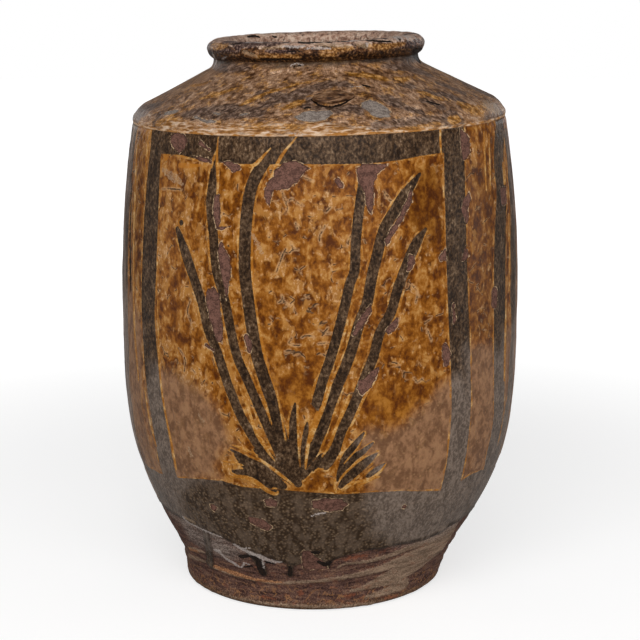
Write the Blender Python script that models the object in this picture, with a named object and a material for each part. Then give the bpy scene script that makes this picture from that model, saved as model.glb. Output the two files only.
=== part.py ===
"""Tall glazed stoneware vinegar jar, built up from luted clay sections.

The jar is modelled as its potter put it together: a base disc, four wall
sections stood on each other, a shoulder, a neck, a rolled rim, and one lump of
clay that stuck to the shoulder in the kiln. Each section has a ridged top edge
that seats in the grooved edge of the next one. The finished stack leans and
tilts a little, as the real jar does.

Metres, +Z up. The origin is on the floor, under the middle of the belly.
"""

import math

import bmesh
import bpy

# Heights and radii of the outside
FOOT_RADIUS = 0.1186
BELLY_RADIUS = 0.1805
BELLY_HEIGHT = 0.260
CORNER_DRAW_IN = 0.0150
CORNER_RADIUS = BELLY_RADIUS - CORNER_DRAW_IN
CORNER_HEIGHT = 0.4362
NECK_RADIUS = 0.0915
SHOULDER_RISE = 0.0367
NECK_HEIGHT = 0.0067
RIM_BULGE_RISE = 0.0096
RIM_CREST_RISE = 0.0078
RIM_OVERHANG = 0.0058

# Thicknesses of the clay
WALL_THICKNESS = 0.0110
SHOULDER_THICKNESS = 0.0100
NECK_THICKNESS = 0.0106
BASE_THICKNESS = 0.0140

# Underside of the base disc
BASE_EDGE_ROUNDING = 0.0050
CONTACT_WIDTH = 0.0260
BASE_RECESS = 0.0025

# Rounded corners
SHOULDER_ROUNDING = 0.0200
INNER_SHOULDER_ROUNDING = 0.0120
NECK_ROUNDING = 0.0100
INNER_NECK_ROUNDING = 0.0060
COVE_RADIUS = 0.0120

# Luted seams between the sections
SEAM_GAP = 0.0003
SEAM_CROWN = 0.0020
FOOT_SEAM_HEIGHT = 0.0560
LOWER_SEAM_HEIGHT = 0.1680
UPPER_SEAM_HEIGHT = 0.3000
NECK_SEAM_DISTANCE = 0.0125

# Ridges that the fingers left
THROWING_PITCH = 0.0340
THROWING_DEPTH = 0.0014
FOOT_RIDGE_HEIGHT = 0.0275
FOOT_RIDGE_SLANT = 0.0110
FOOT_RIDGE_WIDTH = 0.0055
FOOT_RIDGE_DEPTH = 0.0013
FOOT_RIDGE_SPACING = 0.0125
FOOT_RIDGE_RUN_OUT = 0.0080
FOOT_RIDGE_ANGLE = math.radians(-36)
FOOT_RIDGE_COUNT = 3

# Lump of clay on the shoulder
LUMP_LENGTH = 0.0360
LUMP_WIDTH = 0.0165
LUMP_THICKNESS = 0.0042
LUMP_DISTANCE = 0.0410
LUMP_EDGE_SHARE = 0.33
LUMP_ANGLE = math.radians(-84.2)

# The stack's lean and tilt
FOOT_LEAN = -0.0066
HEEL_LEAN = -0.0037
HEEL_HEIGHT = 0.0300
UPRIGHT_HEIGHT = 0.1200
CORNER_LEAN = -0.0012
MOUTH_LEAN = -0.0038
CORNER_TILT_SHARE = 0.0205
MOUTH_TILT_SHARE = 0.0270

# The heel's outline: height up to the belly, and growth from foot to belly
HEEL_SHARES = (
    (0.000, 0.000),
    (0.085, 0.070),
    (0.155, 0.205),
    (0.230, 0.385),
    (0.310, 0.552),
    (0.385, 0.692),
    (0.500, 0.856),
    (0.615, 0.942),
    (0.770, 0.990),
    (1.000, 1.000),
)

SEGMENTS = 56
WALL_STEP = 0.0210
FOOT_STEP = 0.0034
ARC_STEPS = 5
RIM_STEPS = 12
SEAM_STEPS = 2
LUMP_RINGS = 4
LUMP_SEGMENTS = 28
WELD_DISTANCE = 0.00001
FILLET_LIMIT_SHARE = 0.95
SMOOTH_ANGLE = math.radians(38)

CLAYS = {
    "glaze_amber": ((0.216, 0.085, 0.018), 0.24),
    "glaze_dark": ((0.074, 0.045, 0.029), 0.28),
    "glaze_olive": ((0.180, 0.106, 0.063), 0.30),
    "clay_foot": ((0.108, 0.058, 0.042), 0.72),
    "clay_base": ((0.150, 0.088, 0.062), 0.80),
    "clay_rim": ((0.230, 0.140, 0.095), 0.42),
    "clay_lump": ((0.125, 0.062, 0.034), 0.40),
}


def clay(name):
    """The Principled material of one clay or glaze."""
    colour, roughness = CLAYS[name]
    material = bpy.data.materials.new(name)
    material.use_nodes = True
    material.diffuse_color = (*colour, 1)
    shader = material.node_tree.nodes["Principled BSDF"]
    shader.inputs["Base Color"].default_value = (*colour, 1)
    shader.inputs["Roughness"].default_value = roughness
    shader.inputs["Metallic"].default_value = 0
    return material


def smooth_between(stations, place):
    """A smooth, never overshooting curve through the stations, read at one place."""
    places = [station[0] for station in stations]
    values = [station[1] for station in stations]
    slopes = [
        (values[i + 1] - values[i]) / (places[i + 1] - places[i])
        for i in range(len(stations) - 1)
    ]
    ends = [slopes[0]]
    for before, after in zip(slopes, slopes[1:]):
        together = before * after > 0
        ends.append(2 * before * after / (before + after) if together else 0.0)
    ends.append(slopes[-1])
    place = min(max(place, places[0]), places[-1])
    i = max(j for j in range(len(slopes)) if places[j] <= place)
    span = places[i + 1] - places[i]
    t = (place - places[i]) / span
    return (
        values[i] * (1 + 2 * t) * (1 - t) ** 2
        + values[i + 1] * t**2 * (3 - 2 * t)
        + span * (ends[i] * t * (1 - t) ** 2 - ends[i + 1] * t**2 * (1 - t))
    )


def wall_radius(height):
    """Outer radius of the wall at a height, up to where it would meet the shoulder."""
    if height <= BELLY_HEIGHT:
        growth = smooth_between(HEEL_SHARES, height / BELLY_HEIGHT)
        return FOOT_RADIUS + growth * (BELLY_RADIUS - FOOT_RADIUS)
    share = (height - BELLY_HEIGHT) / (CORNER_HEIGHT - BELLY_HEIGHT)
    return BELLY_RADIUS - share**2 * (BELLY_RADIUS - CORNER_RADIUS)


def inner_radius(height):
    """Inner radius of the wall, with the throwing ridges."""
    ridge = THROWING_DEPTH / 2 * math.cos(2 * math.pi * height / THROWING_PITCH)
    return wall_radius(height) - WALL_THICKNESS + ridge


def outer_rows(low, high, step):
    """Points up the outside between two heights, about one step apart."""
    count = max(1, round((high - low) / step))
    heights = [low + (high - low) * i / count for i in range(1, count)]
    return [(wall_radius(height), height) for height in heights]


def inner_rows(high, low):
    """Points down the inside, on each crest and hollow of the throwing ridges."""
    step = THROWING_PITCH / 2
    margin = step / 3
    first = math.ceil((low + margin) / step)
    last = math.floor((high - margin) / step)
    heights = [i * step for i in range(last, first - 1, -1)]
    return [(inner_radius(height), height) for height in heights]


def rounded_corner(before, corner, after, radius):
    """The arc that rounds a corner between two straight runs, limited by the shorter one."""
    to_before = (before[0] - corner[0], before[1] - corner[1])
    to_after = (after[0] - corner[0], after[1] - corner[1])
    long_before = math.hypot(*to_before)
    long_after = math.hypot(*to_after)
    to_before = (to_before[0] / long_before, to_before[1] / long_before)
    to_after = (to_after[0] / long_after, to_after[1] / long_after)
    half = math.acos(to_before[0] * to_after[0] + to_before[1] * to_after[1]) / 2
    shortest = min(long_before, long_after)
    back = min(radius / math.tan(half), FILLET_LIMIT_SHARE * shortest)
    radius = back * math.tan(half)
    inward = (to_before[0] + to_after[0], to_before[1] + to_after[1])
    size = math.hypot(*inward)
    reach = radius / math.sin(half)
    centre = (
        corner[0] + inward[0] / size * reach,
        corner[1] + inward[1] / size * reach,
    )
    start = math.atan2(
        corner[1] + to_before[1] * back - centre[1],
        corner[0] + to_before[0] * back - centre[0],
    )
    end = math.atan2(
        corner[1] + to_after[1] * back - centre[1],
        corner[0] + to_after[0] * back - centre[0],
    )
    turn = (end - start + math.pi) % (2 * math.pi) - math.pi
    return [
        (
            centre[0] + radius * math.cos(start + turn * i / ARC_STEPS),
            centre[1] + radius * math.sin(start + turn * i / ARC_STEPS),
        )
        for i in range(ARC_STEPS + 1)
    ]


def seam(outer, inner, raised=0.0):
    """The ridged joint face from an outer to an inner point, raised across the gap."""
    across = (inner[0] - outer[0], inner[1] - outer[1])
    width = math.hypot(*across)
    onward = (across[1] / width, -across[0] / width)
    points = []
    for i in range(SEAM_STEPS + 1):
        share = i / SEAM_STEPS
        lift = SEAM_CROWN * math.sin(math.pi * share) + raised
        points.append(
            (
                outer[0] + across[0] * share + onward[0] * lift,
                outer[1] + across[1] * share + onward[1] * lift,
            )
        )
    return points


def wall_seam(height, raised=0.0):
    """The joint face across the wall at one height."""
    return seam((wall_radius(height), height), (inner_radius(height), height), raised)


# Lines and corners of the shoulder and the neck
SLOPE = SHOULDER_RISE / (CORNER_RADIUS - NECK_RADIUS)
SLOPE_ANGLE = math.atan(SLOPE)
SHOULDER_DROP = SHOULDER_THICKNESS / math.cos(SLOPE_ANGLE)
NECK_BASE_HEIGHT = CORNER_HEIGHT + SHOULDER_RISE
RIM_SEAT_HEIGHT = NECK_BASE_HEIGHT + NECK_HEIGHT
INNER_CORNER_RADIUS = CORNER_RADIUS - WALL_THICKNESS
INNER_NECK_RADIUS = NECK_RADIUS - NECK_THICKNESS
NECK_SEAM_RADIUS = NECK_RADIUS + NECK_SEAM_DISTANCE


def shoulder_height(radius):
    """Height of the shoulder's outer line at a radius."""
    return CORNER_HEIGHT + (CORNER_RADIUS - radius) * SLOPE


def outer_shoulder_arc():
    """The rounded corner between the wall and the shoulder."""
    below = CORNER_HEIGHT - SHOULDER_ROUNDING
    return rounded_corner(
        (wall_radius(below), below),
        (CORNER_RADIUS, CORNER_HEIGHT),
        (NECK_SEAM_RADIUS, shoulder_height(NECK_SEAM_RADIUS)),
        SHOULDER_ROUNDING,
    )


SHOULDER_SEAM_HEIGHT = outer_shoulder_arc()[0][1]


def inner_shoulder_arc():
    """The rounded corner inside the shoulder."""
    corner = (
        INNER_CORNER_RADIUS,
        shoulder_height(INNER_CORNER_RADIUS) - SHOULDER_DROP,
    )
    low = min(SHOULDER_SEAM_HEIGHT, corner[1]) - INNER_SHOULDER_ROUNDING
    neck_side = (
        NECK_SEAM_RADIUS,
        shoulder_height(NECK_SEAM_RADIUS) - SHOULDER_DROP,
    )
    return rounded_corner(
        neck_side, corner, (INNER_CORNER_RADIUS, low), INNER_SHOULDER_ROUNDING
    )


def neck_seam_ends():
    """The outer and inner ends of the joint face that crosses the shoulder."""
    outer = (NECK_SEAM_RADIUS, shoulder_height(NECK_SEAM_RADIUS))
    inner = (
        outer[0] - SHOULDER_THICKNESS * math.sin(SLOPE_ANGLE),
        outer[1] - SHOULDER_THICKNESS * math.cos(SLOPE_ANGLE),
    )
    return outer, inner


def rim_seam(raised=0.0):
    """The joint face between the neck and the rolled rim."""
    return seam(
        (NECK_RADIUS, RIM_SEAT_HEIGHT), (INNER_NECK_RADIUS, RIM_SEAT_HEIGHT), raised
    )


def lean(height):
    """How far the clay at a height has moved to the side."""
    stations = (
        (0.0, FOOT_LEAN),
        (HEEL_HEIGHT, HEEL_LEAN),
        (UPRIGHT_HEIGHT, 0.0),
        (BELLY_HEIGHT, 0.0),
        (CORNER_HEIGHT, CORNER_LEAN),
        (RIM_SEAT_HEIGHT, MOUTH_LEAN),
        (RIM_SEAT_HEIGHT + RIM_BULGE_RISE, MOUTH_LEAN),
    )
    return smooth_between(stations, height)


def tilt(height):
    """How steeply the clay at a height rises towards +X, as rise over run."""
    stations = (
        (0.0, 0.0),
        (CORNER_HEIGHT, CORNER_TILT_SHARE),
        (RIM_SEAT_HEIGHT, MOUTH_TILT_SHARE),
    )
    return smooth_between(stations, height)


def settle(mesh):
    """Lean and tilt the upright shape as the whole stack does."""
    for vertex in mesh.vertices:
        place = vertex.co
        moved = lean(place.z)
        place.z += tilt(place.z) * place.x
        place.x += moved


def foot_ridges(mesh):
    """Raise the slanting ridges round the outside of the foot."""
    top = FOOT_SEAM_HEIGHT
    for vertex in mesh.vertices:
        place = vertex.co
        radius = math.hypot(place.x, place.y)
        if radius < wall_radius(place.z) - WALL_THICKNESS / 2:
            continue
        angle = math.atan2(place.y, place.x)
        slant = FOOT_RIDGE_SLANT * math.cos(angle - FOOT_RIDGE_ANGLE)
        swell = sum(
            math.exp(
                -(
                    (place.z - FOOT_RIDGE_HEIGHT - slant + i * FOOT_RIDGE_SPACING)
                    / (FOOT_RIDGE_WIDTH / 2)
                )
                ** 2
            )
            for i in range(FOOT_RIDGE_COUNT)
        )
        clear = min(place.z - BASE_THICKNESS, top - place.z) / FOOT_RIDGE_RUN_OUT
        grown = radius + FOOT_RIDGE_DEPTH * swell * min(max(clear, 0.0), 1.0)
        place.x *= grown / radius
        place.y *= grown / radius


def finish(name, mesh, material):
    """Make the object of one section, settled and shaded."""
    settle(mesh)
    mesh.materials.append(clay(material))
    mesh.shade_smooth()
    mesh.set_sharp_from_angle(angle=SMOOTH_ANGLE)
    section = bpy.data.objects.new(name, mesh)
    bpy.context.collection.objects.link(section)
    return section


def turned(name, outline, material, shape=None):
    """Spin a closed outline of (radius, height) points into one section."""
    work = bmesh.new()
    corners = [work.verts.new((radius, 0, height)) for radius, height in outline]
    ring = list(zip(corners, corners[1:] + corners[:1]))
    edges = [
        work.edges.new(pair)
        for pair in ring
        if pair[0].co.x > 0 or pair[1].co.x > 0
    ]
    bmesh.ops.spin(
        work,
        geom=corners + edges,
        axis=(0, 0, 1),
        cent=(0, 0, 0),
        angle=2 * math.pi,
        steps=SEGMENTS,
        use_merge=True,
    )
    bmesh.ops.remove_doubles(work, verts=work.verts, dist=WELD_DISTANCE)
    bmesh.ops.recalc_face_normals(work, faces=work.faces)
    mesh = bpy.data.meshes.new(name)
    work.to_mesh(mesh)
    work.free()
    if shape:
        shape(mesh)
    return finish(name, mesh, material)


def base_disc():
    """The bottom of the jar, hollowed underneath so that it stands on a ring."""
    edge = wall_radius(BASE_EDGE_ROUNDING)
    contact = edge - BASE_EDGE_ROUNDING - CONTACT_WIDTH
    lower_edge = rounded_corner(
        (edge, BASE_THICKNESS), (edge, 0.0), (0.0, 0.0), BASE_EDGE_ROUNDING
    )
    seat = seam(
        (wall_radius(BASE_THICKNESS), BASE_THICKNESS),
        (inner_radius(BASE_THICKNESS) - COVE_RADIUS, BASE_THICKNESS),
    )
    underside = [
        (contact, 0.0),
        (contact - 2 * BASE_RECESS, BASE_RECESS),
        (0.0, BASE_RECESS),
    ]
    outline = lower_edge[::-1] + seat + [(0.0, BASE_THICKNESS)] + underside[::-1]
    return turned("base_disc", outline, "clay_base")


def foot_wall():
    """The unglazed foot, with a cove inside and ridges outside."""
    low = BASE_THICKNESS + SEAM_GAP
    cove_top = low + COVE_RADIUS
    toe = inner_radius(BASE_THICKNESS) - COVE_RADIUS
    cove = rounded_corner(
        (inner_radius(cove_top), FOOT_SEAM_HEIGHT),
        (inner_radius(cove_top), low),
        (0.0, low),
        inner_radius(cove_top) - toe,
    )
    seat = seam(
        (wall_radius(BASE_THICKNESS), BASE_THICKNESS), (toe, BASE_THICKNESS), SEAM_GAP
    )
    outline = (
        outer_rows(low, FOOT_SEAM_HEIGHT, FOOT_STEP)
        + wall_seam(FOOT_SEAM_HEIGHT)
        + inner_rows(FOOT_SEAM_HEIGHT, cove[0][1])
        + cove[:-1]
        + seat[::-1]
    )
    return turned("foot_wall", outline, "clay_foot", foot_ridges)


def wall_section(name, low, high, material):
    """One ring of the wall between two seams."""
    outline = (
        outer_rows(low, high, WALL_STEP)
        + wall_seam(high)
        + inner_rows(high, low)
        + wall_seam(low, SEAM_GAP)[::-1]
    )
    return turned(name, outline, material)


def shoulder():
    """The sloping shoulder, with the rounded corner at its edge."""
    outer_end, inner_end = neck_seam_ends()
    outline = (
        outer_shoulder_arc()[1:]
        + seam(outer_end, inner_end)
        + inner_shoulder_arc()
        + wall_seam(SHOULDER_SEAM_HEIGHT, SEAM_GAP)[::-1]
    )
    return turned("shoulder", outline, "glaze_olive")


def neck():
    """The short neck and the sweep that leads up to it."""
    outer_end, inner_end = neck_seam_ends()
    inner_base = shoulder_height(INNER_NECK_RADIUS) - SHOULDER_DROP
    sweep = rounded_corner(
        outer_end,
        (NECK_RADIUS, NECK_BASE_HEIGHT),
        (NECK_RADIUS, RIM_SEAT_HEIGHT),
        NECK_ROUNDING,
    )
    throat = rounded_corner(
        (INNER_NECK_RADIUS, RIM_SEAT_HEIGHT),
        (INNER_NECK_RADIUS, inner_base),
        inner_end,
        INNER_NECK_ROUNDING,
    )
    seat = seam(outer_end, inner_end, SEAM_GAP)
    outline = sweep + rim_seam() + throat + seat[::-1]
    return turned("neck", outline, "glaze_olive")


def rolled_rim():
    """The rim, rolled over to stand proud of the neck inside and out."""
    half_width = NECK_THICKNESS / 2 + RIM_OVERHANG
    reach = math.acos(NECK_THICKNESS / 2 / half_width)
    middle = NECK_RADIUS - NECK_THICKNESS / 2
    turn = math.pi + 2 * reach
    roll = []
    for i in range(1, RIM_STEPS):
        angle = turn * i / RIM_STEPS - reach
        above = math.sin(angle) > 0
        rise = RIM_CREST_RISE if above else RIM_BULGE_RISE / math.sin(reach)
        height = RIM_SEAT_HEIGHT + RIM_BULGE_RISE + rise * math.sin(angle)
        roll.append((middle + half_width * math.cos(angle), height))
    outline = roll + rim_seam(SEAM_GAP)[::-1]
    return turned("rolled_rim", outline, "clay_rim")


def lump_point(along, up, lift):
    """A point over the shoulder, placed from the lump's middle."""
    middle = NECK_RADIUS + LUMP_DISTANCE
    radius = middle - up * math.cos(SLOPE_ANGLE)
    angle = LUMP_ANGLE + along / middle
    place = radius + lift * math.sin(SLOPE_ANGLE)
    height = shoulder_height(radius) + lift * math.cos(SLOPE_ANGLE)
    return (place * math.cos(angle), place * math.sin(angle), height)


def shoulder_lump():
    """The flat lump of clay stuck to the front of the shoulder."""
    work = bmesh.new()

    def ring(share, lift):
        return [
            work.verts.new(
                lump_point(
                    LUMP_LENGTH / 2 * share * math.cos(2 * math.pi * i / LUMP_SEGMENTS),
                    LUMP_WIDTH / 2 * share * math.sin(2 * math.pi * i / LUMP_SEGMENTS),
                    lift,
                )
            )
            for i in range(LUMP_SEGMENTS)
        ]

    def band(lower, upper):
        for i in range(LUMP_SEGMENTS):
            j = (i + 1) % LUMP_SEGMENTS
            work.faces.new((lower[i], lower[j], upper[j], upper[i]))

    def cap(edge, middle):
        for i in range(LUMP_SEGMENTS):
            work.faces.new((edge[i], edge[(i + 1) % LUMP_SEGMENTS], middle))

    bottom = ring(1, SEAM_GAP)
    rings = [bottom]
    for i in range(LUMP_RINGS):
        share = 1 - i / LUMP_RINGS
        dome = math.sqrt(1 - share**4)
        fullness = LUMP_EDGE_SHARE + (1 - LUMP_EDGE_SHARE) * dome
        rings.append(ring(share, SEAM_GAP + LUMP_THICKNESS * fullness))
    for lower, upper in zip(rings, rings[1:]):
        band(lower, upper)
    cap(rings[-1], work.verts.new(lump_point(0, 0, SEAM_GAP + LUMP_THICKNESS)))
    cap(bottom, work.verts.new(lump_point(0, 0, SEAM_GAP)))
    bmesh.ops.recalc_face_normals(work, faces=work.faces)
    mesh = bpy.data.meshes.new("shoulder_lump")
    work.to_mesh(mesh)
    work.free()
    return finish("shoulder_lump", mesh, "clay_lump")


def main():
    for thing in list(bpy.data.objects):
        bpy.data.objects.remove(thing)
    base_disc()
    foot_wall()
    wall_section("lower_wall", FOOT_SEAM_HEIGHT, LOWER_SEAM_HEIGHT, "glaze_dark")
    wall_section("belly_wall", LOWER_SEAM_HEIGHT, UPPER_SEAM_HEIGHT, "glaze_amber")
    wall_section("upper_wall", UPPER_SEAM_HEIGHT, SHOULDER_SEAM_HEIGHT, "glaze_amber")
    shoulder()
    neck()
    rolled_rim()
    shoulder_lump()


main()
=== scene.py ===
"""Looks of the glazed stoneware vinegar jar: its hand-made surface, paint, glaze, wear, floor and light.

Every section of the jar is dressed by one dense closed mesh on the section's own outline. Paint and wear
are strokes laid on the unrolled surface. Those of the front are given where the photograph shows them, and
those of the other sides are drawn by the same rules. Metres, +Z up, front towards -Y.
"""

import math

import bpy
import numpy as np
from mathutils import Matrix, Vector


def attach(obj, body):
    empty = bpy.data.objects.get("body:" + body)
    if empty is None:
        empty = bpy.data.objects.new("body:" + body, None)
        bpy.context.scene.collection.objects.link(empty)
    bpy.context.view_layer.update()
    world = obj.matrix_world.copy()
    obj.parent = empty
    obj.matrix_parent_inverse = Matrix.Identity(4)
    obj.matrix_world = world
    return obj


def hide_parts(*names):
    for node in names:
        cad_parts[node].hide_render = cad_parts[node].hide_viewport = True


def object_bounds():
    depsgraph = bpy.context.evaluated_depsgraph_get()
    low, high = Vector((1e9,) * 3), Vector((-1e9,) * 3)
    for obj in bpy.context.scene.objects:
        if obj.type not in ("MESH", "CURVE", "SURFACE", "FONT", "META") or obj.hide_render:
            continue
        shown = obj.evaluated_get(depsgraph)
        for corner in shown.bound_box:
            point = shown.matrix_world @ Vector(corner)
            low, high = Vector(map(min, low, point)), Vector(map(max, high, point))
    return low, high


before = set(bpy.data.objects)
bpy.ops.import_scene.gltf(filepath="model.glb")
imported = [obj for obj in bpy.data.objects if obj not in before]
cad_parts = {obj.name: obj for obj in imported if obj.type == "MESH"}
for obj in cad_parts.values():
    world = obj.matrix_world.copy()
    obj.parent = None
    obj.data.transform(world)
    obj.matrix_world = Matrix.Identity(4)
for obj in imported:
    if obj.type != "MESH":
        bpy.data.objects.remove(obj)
CAD_LOW, CAD_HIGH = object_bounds()
BODY = "root"

# Outline of the model that the meshes dress
FOOT_RADIUS = 0.1186
BELLY_RADIUS = 0.1805
BELLY_HEIGHT = 0.260
CORNER_DRAW_IN = 0.0150
CORNER_RADIUS = BELLY_RADIUS - CORNER_DRAW_IN
CORNER_HEIGHT = 0.4362
NECK_RADIUS = 0.0915
SHOULDER_RISE = 0.0367
NECK_HEIGHT = 0.0067
RIM_BULGE_RISE = 0.0096
RIM_CREST_RISE = 0.0078
RIM_OVERHANG = 0.0058
WALL_THICKNESS = 0.0110
SHOULDER_THICKNESS = 0.0100
NECK_THICKNESS = 0.0106
BASE_THICKNESS = 0.0140
BASE_EDGE_ROUNDING = 0.0050
CONTACT_WIDTH = 0.0260
BASE_RECESS = 0.0025
SHOULDER_ROUNDING = 0.0200
INNER_SHOULDER_ROUNDING = 0.0120
NECK_ROUNDING = 0.0100
INNER_NECK_ROUNDING = 0.0060
COVE_RADIUS = 0.0120
SEAM_DIP = 0.0002
FOOT_SEAM_HEIGHT = 0.0560
LOWER_SEAM_HEIGHT = 0.1680
UPPER_SEAM_HEIGHT = 0.3000
NECK_SEAM_DISTANCE = 0.0125
THROWING_PITCH = 0.0340
THROWING_DEPTH = 0.0014
HEEL_SHARES = (
    (0.000, 0.000),
    (0.085, 0.070),
    (0.155, 0.205),
    (0.230, 0.385),
    (0.310, 0.552),
    (0.385, 0.692),
    (0.500, 0.856),
    (0.615, 0.942),
    (0.770, 0.990),
    (1.000, 1.000),
)
LUMP_LENGTH = 0.0360
LUMP_WIDTH = 0.0165
LUMP_THICKNESS = 0.0042
LUMP_DISTANCE = 0.0410
LUMP_ANGLE = math.radians(5.8)
LUMP_TAIL = 0.55
LUMP_BLUNT = 0.10
LUMP_SKEW = 0.0014
LUMP_SEGMENTS = 120
LUMP_RINGS = 26

# The stack's lean and tilt
FOOT_LEAN = -0.0066
HEEL_LEAN = -0.0037
HEEL_HEIGHT = 0.0300
UPRIGHT_HEIGHT = 0.1200
CORNER_LEAN = -0.0012
MOUTH_LEAN = -0.0038
CORNER_TILT_SHARE = 0.0205
MOUTH_TILT_SHARE = 0.0270

# Camera that took the photograph
PICTURE_WIDTH = 640
CAMERA_PLACE = (0.0, -1.662, 0.584)
CAMERA_PITCH = math.radians(11.76)
FOCAL_PIXELS = 1845.7
SENSOR_WIDTH = 0.036

# Fineness of the meshes
COLUMNS = 800
ROW_STEP = 0.00135
FINE_STEP = 0.00090
INNER_STEP = 0.0060
UNDER_STEP = 0.0040
MIDDLE_RADIUS = 0.0006
LEAST_RADIUS = 0.05
REACH = 0.0120
MM = 0.001

SLOPE = SHOULDER_RISE / (CORNER_RADIUS - NECK_RADIUS)
SLOPE_ANGLE = math.atan(SLOPE)
SHOULDER_DROP = SHOULDER_THICKNESS / math.cos(SLOPE_ANGLE)
NECK_BASE_HEIGHT = CORNER_HEIGHT + SHOULDER_RISE
RIM_SEAT_HEIGHT = NECK_BASE_HEIGHT + NECK_HEIGHT
INNER_CORNER_RADIUS = CORNER_RADIUS - WALL_THICKNESS
INNER_NECK_RADIUS = NECK_RADIUS - NECK_THICKNESS
NECK_SEAM_RADIUS = NECK_RADIUS + NECK_SEAM_DISTANCE


# Curves


def smooth_between(stations, place):
    """A smooth, never overshooting curve through the stations, read at many places."""
    places, values = np.array(stations, float).T
    slopes = np.diff(values) / np.diff(places)
    product = slopes[:-1] * slopes[1:]
    total = np.where(product > 0, slopes[:-1] + slopes[1:], 1)
    middle = np.where(product > 0, 2 * product / total, 0)
    ends = np.concatenate([slopes[:1], middle, slopes[-1:]])
    place = np.clip(place, places[0], places[-1])
    i = np.clip(np.searchsorted(places, place, side="right") - 1, 0, len(slopes) - 1)
    span = places[i + 1] - places[i]
    t = (place - places[i]) / span
    return (
        values[i] * (1 + 2 * t) * (1 - t) ** 2
        + values[i + 1] * t**2 * (3 - 2 * t)
        + span * (ends[i] * t * (1 - t) ** 2 - ends[i + 1] * t**2 * (1 - t))
    )


def wall_radius(height):
    """Outer radius of the wall at a height, up to where it would meet the shoulder."""
    growth = smooth_between(HEEL_SHARES, height / BELLY_HEIGHT)
    below = FOOT_RADIUS + growth * (BELLY_RADIUS - FOOT_RADIUS)
    share = (height - BELLY_HEIGHT) / (CORNER_HEIGHT - BELLY_HEIGHT)
    above = BELLY_RADIUS - share**2 * (BELLY_RADIUS - CORNER_RADIUS)
    return np.where(height <= BELLY_HEIGHT, below, above)


def inner_radius(height):
    """Inner radius of the wall, with the throwing ridges."""
    ridge = THROWING_DEPTH / 2 * np.cos(2 * math.pi * height / THROWING_PITCH)
    return wall_radius(height) - WALL_THICKNESS + ridge


def shoulder_height(radius):
    """Height of the shoulder's outer line at a radius."""
    return CORNER_HEIGHT + (CORNER_RADIUS - radius) * SLOPE


def rounded_corner(before, corner, after, radius, steps=24):
    """The arc that rounds a corner between two straight runs."""
    before, corner, after = (np.array(p, float) for p in (before, corner, after))
    long_before = np.linalg.norm(before - corner)
    long_after = np.linalg.norm(after - corner)
    to_before = (before - corner) / long_before
    to_after = (after - corner) / long_after
    half = math.acos(float(to_before @ to_after)) / 2
    back = min(radius / math.tan(half), 0.95 * min(long_before, long_after))
    radius = back * math.tan(half)
    inward = (to_before + to_after) / np.linalg.norm(to_before + to_after)
    centre = corner + inward * radius / math.sin(half)
    first = corner + to_before * back - centre
    last = corner + to_after * back - centre
    start = math.atan2(first[1], first[0])
    turn = (math.atan2(last[1], last[0]) - start + math.pi) % (2 * math.pi) - math.pi
    angles = start + turn * np.linspace(0, 1, steps + 1)
    return centre + radius * np.stack([np.cos(angles), np.sin(angles)], 1)


def wall_run(low, high, radius_at=wall_radius, steps=120):
    """Points along the wall between two heights."""
    heights = np.linspace(low, high, steps + 1)
    return np.stack([radius_at(heights), heights], 1)


def evenly(points, step):
    """The same line with its points about one step apart."""
    points = np.array(points, float)
    along = np.concatenate([[0], np.cumsum(np.linalg.norm(np.diff(points, axis=0), axis=1))])
    places = np.linspace(0, along[-1], max(1, round(along[-1] / step)) + 1)
    return np.stack([np.interp(places, along, points[:, k]) for k in (0, 1)], 1)


# Outlines of the sections, outside from the floor to the mouth and inside back down

outer_arc = rounded_corner(
    (wall_radius(CORNER_HEIGHT - SHOULDER_ROUNDING), CORNER_HEIGHT - SHOULDER_ROUNDING),
    (CORNER_RADIUS, CORNER_HEIGHT),
    (NECK_SEAM_RADIUS, shoulder_height(NECK_SEAM_RADIUS)),
    SHOULDER_ROUNDING,
)
CREASE_HEIGHT = float(outer_arc[0][1])
NECK_SEAM = np.array((NECK_SEAM_RADIUS, shoulder_height(NECK_SEAM_RADIUS)))
NECK_SEAM_INSIDE = NECK_SEAM - SHOULDER_THICKNESS * np.array(
    (math.sin(SLOPE_ANGLE), math.cos(SLOPE_ANGLE))
)


def base_edge():
    """The rounded lower edge of the base disc and its side."""
    edge = float(wall_radius(BASE_EDGE_ROUNDING))
    arc = rounded_corner((0, 0), (edge, 0), (edge, BASE_THICKNESS), BASE_EDGE_ROUNDING)
    return np.concatenate([arc, [(float(wall_radius(BASE_THICKNESS)), BASE_THICKNESS)]])


def rim_roll():
    """The rolled rim, from its outer to its inner edge on the neck."""
    half_width = NECK_THICKNESS / 2 + RIM_OVERHANG
    reach = math.acos(NECK_THICKNESS / 2 / half_width)
    middle = NECK_RADIUS - NECK_THICKNESS / 2
    angles = np.linspace(-reach, math.pi + reach, 97)
    rise = np.where(np.sin(angles) > 0, RIM_CREST_RISE, RIM_BULGE_RISE / math.sin(reach))
    heights = RIM_SEAT_HEIGHT + RIM_BULGE_RISE + rise * np.sin(angles)
    return np.stack([middle + half_width * np.cos(angles), heights], 1)


def neck_sweep():
    """The sweep from the shoulder up to the neck."""
    top = (NECK_RADIUS, RIM_SEAT_HEIGHT)
    arc = rounded_corner(NECK_SEAM, (NECK_RADIUS, NECK_BASE_HEIGHT), top, NECK_ROUNDING)
    return np.concatenate([[NECK_SEAM], arc, [top]])


def throat():
    """The inside of the neck, down to the shoulder's inside."""
    top = (INNER_NECK_RADIUS, RIM_SEAT_HEIGHT)
    corner = (INNER_NECK_RADIUS, shoulder_height(INNER_NECK_RADIUS) - SHOULDER_DROP)
    arc = rounded_corner(top, corner, NECK_SEAM_INSIDE, INNER_NECK_ROUNDING)
    return np.concatenate([[top], arc, [NECK_SEAM_INSIDE]])


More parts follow.
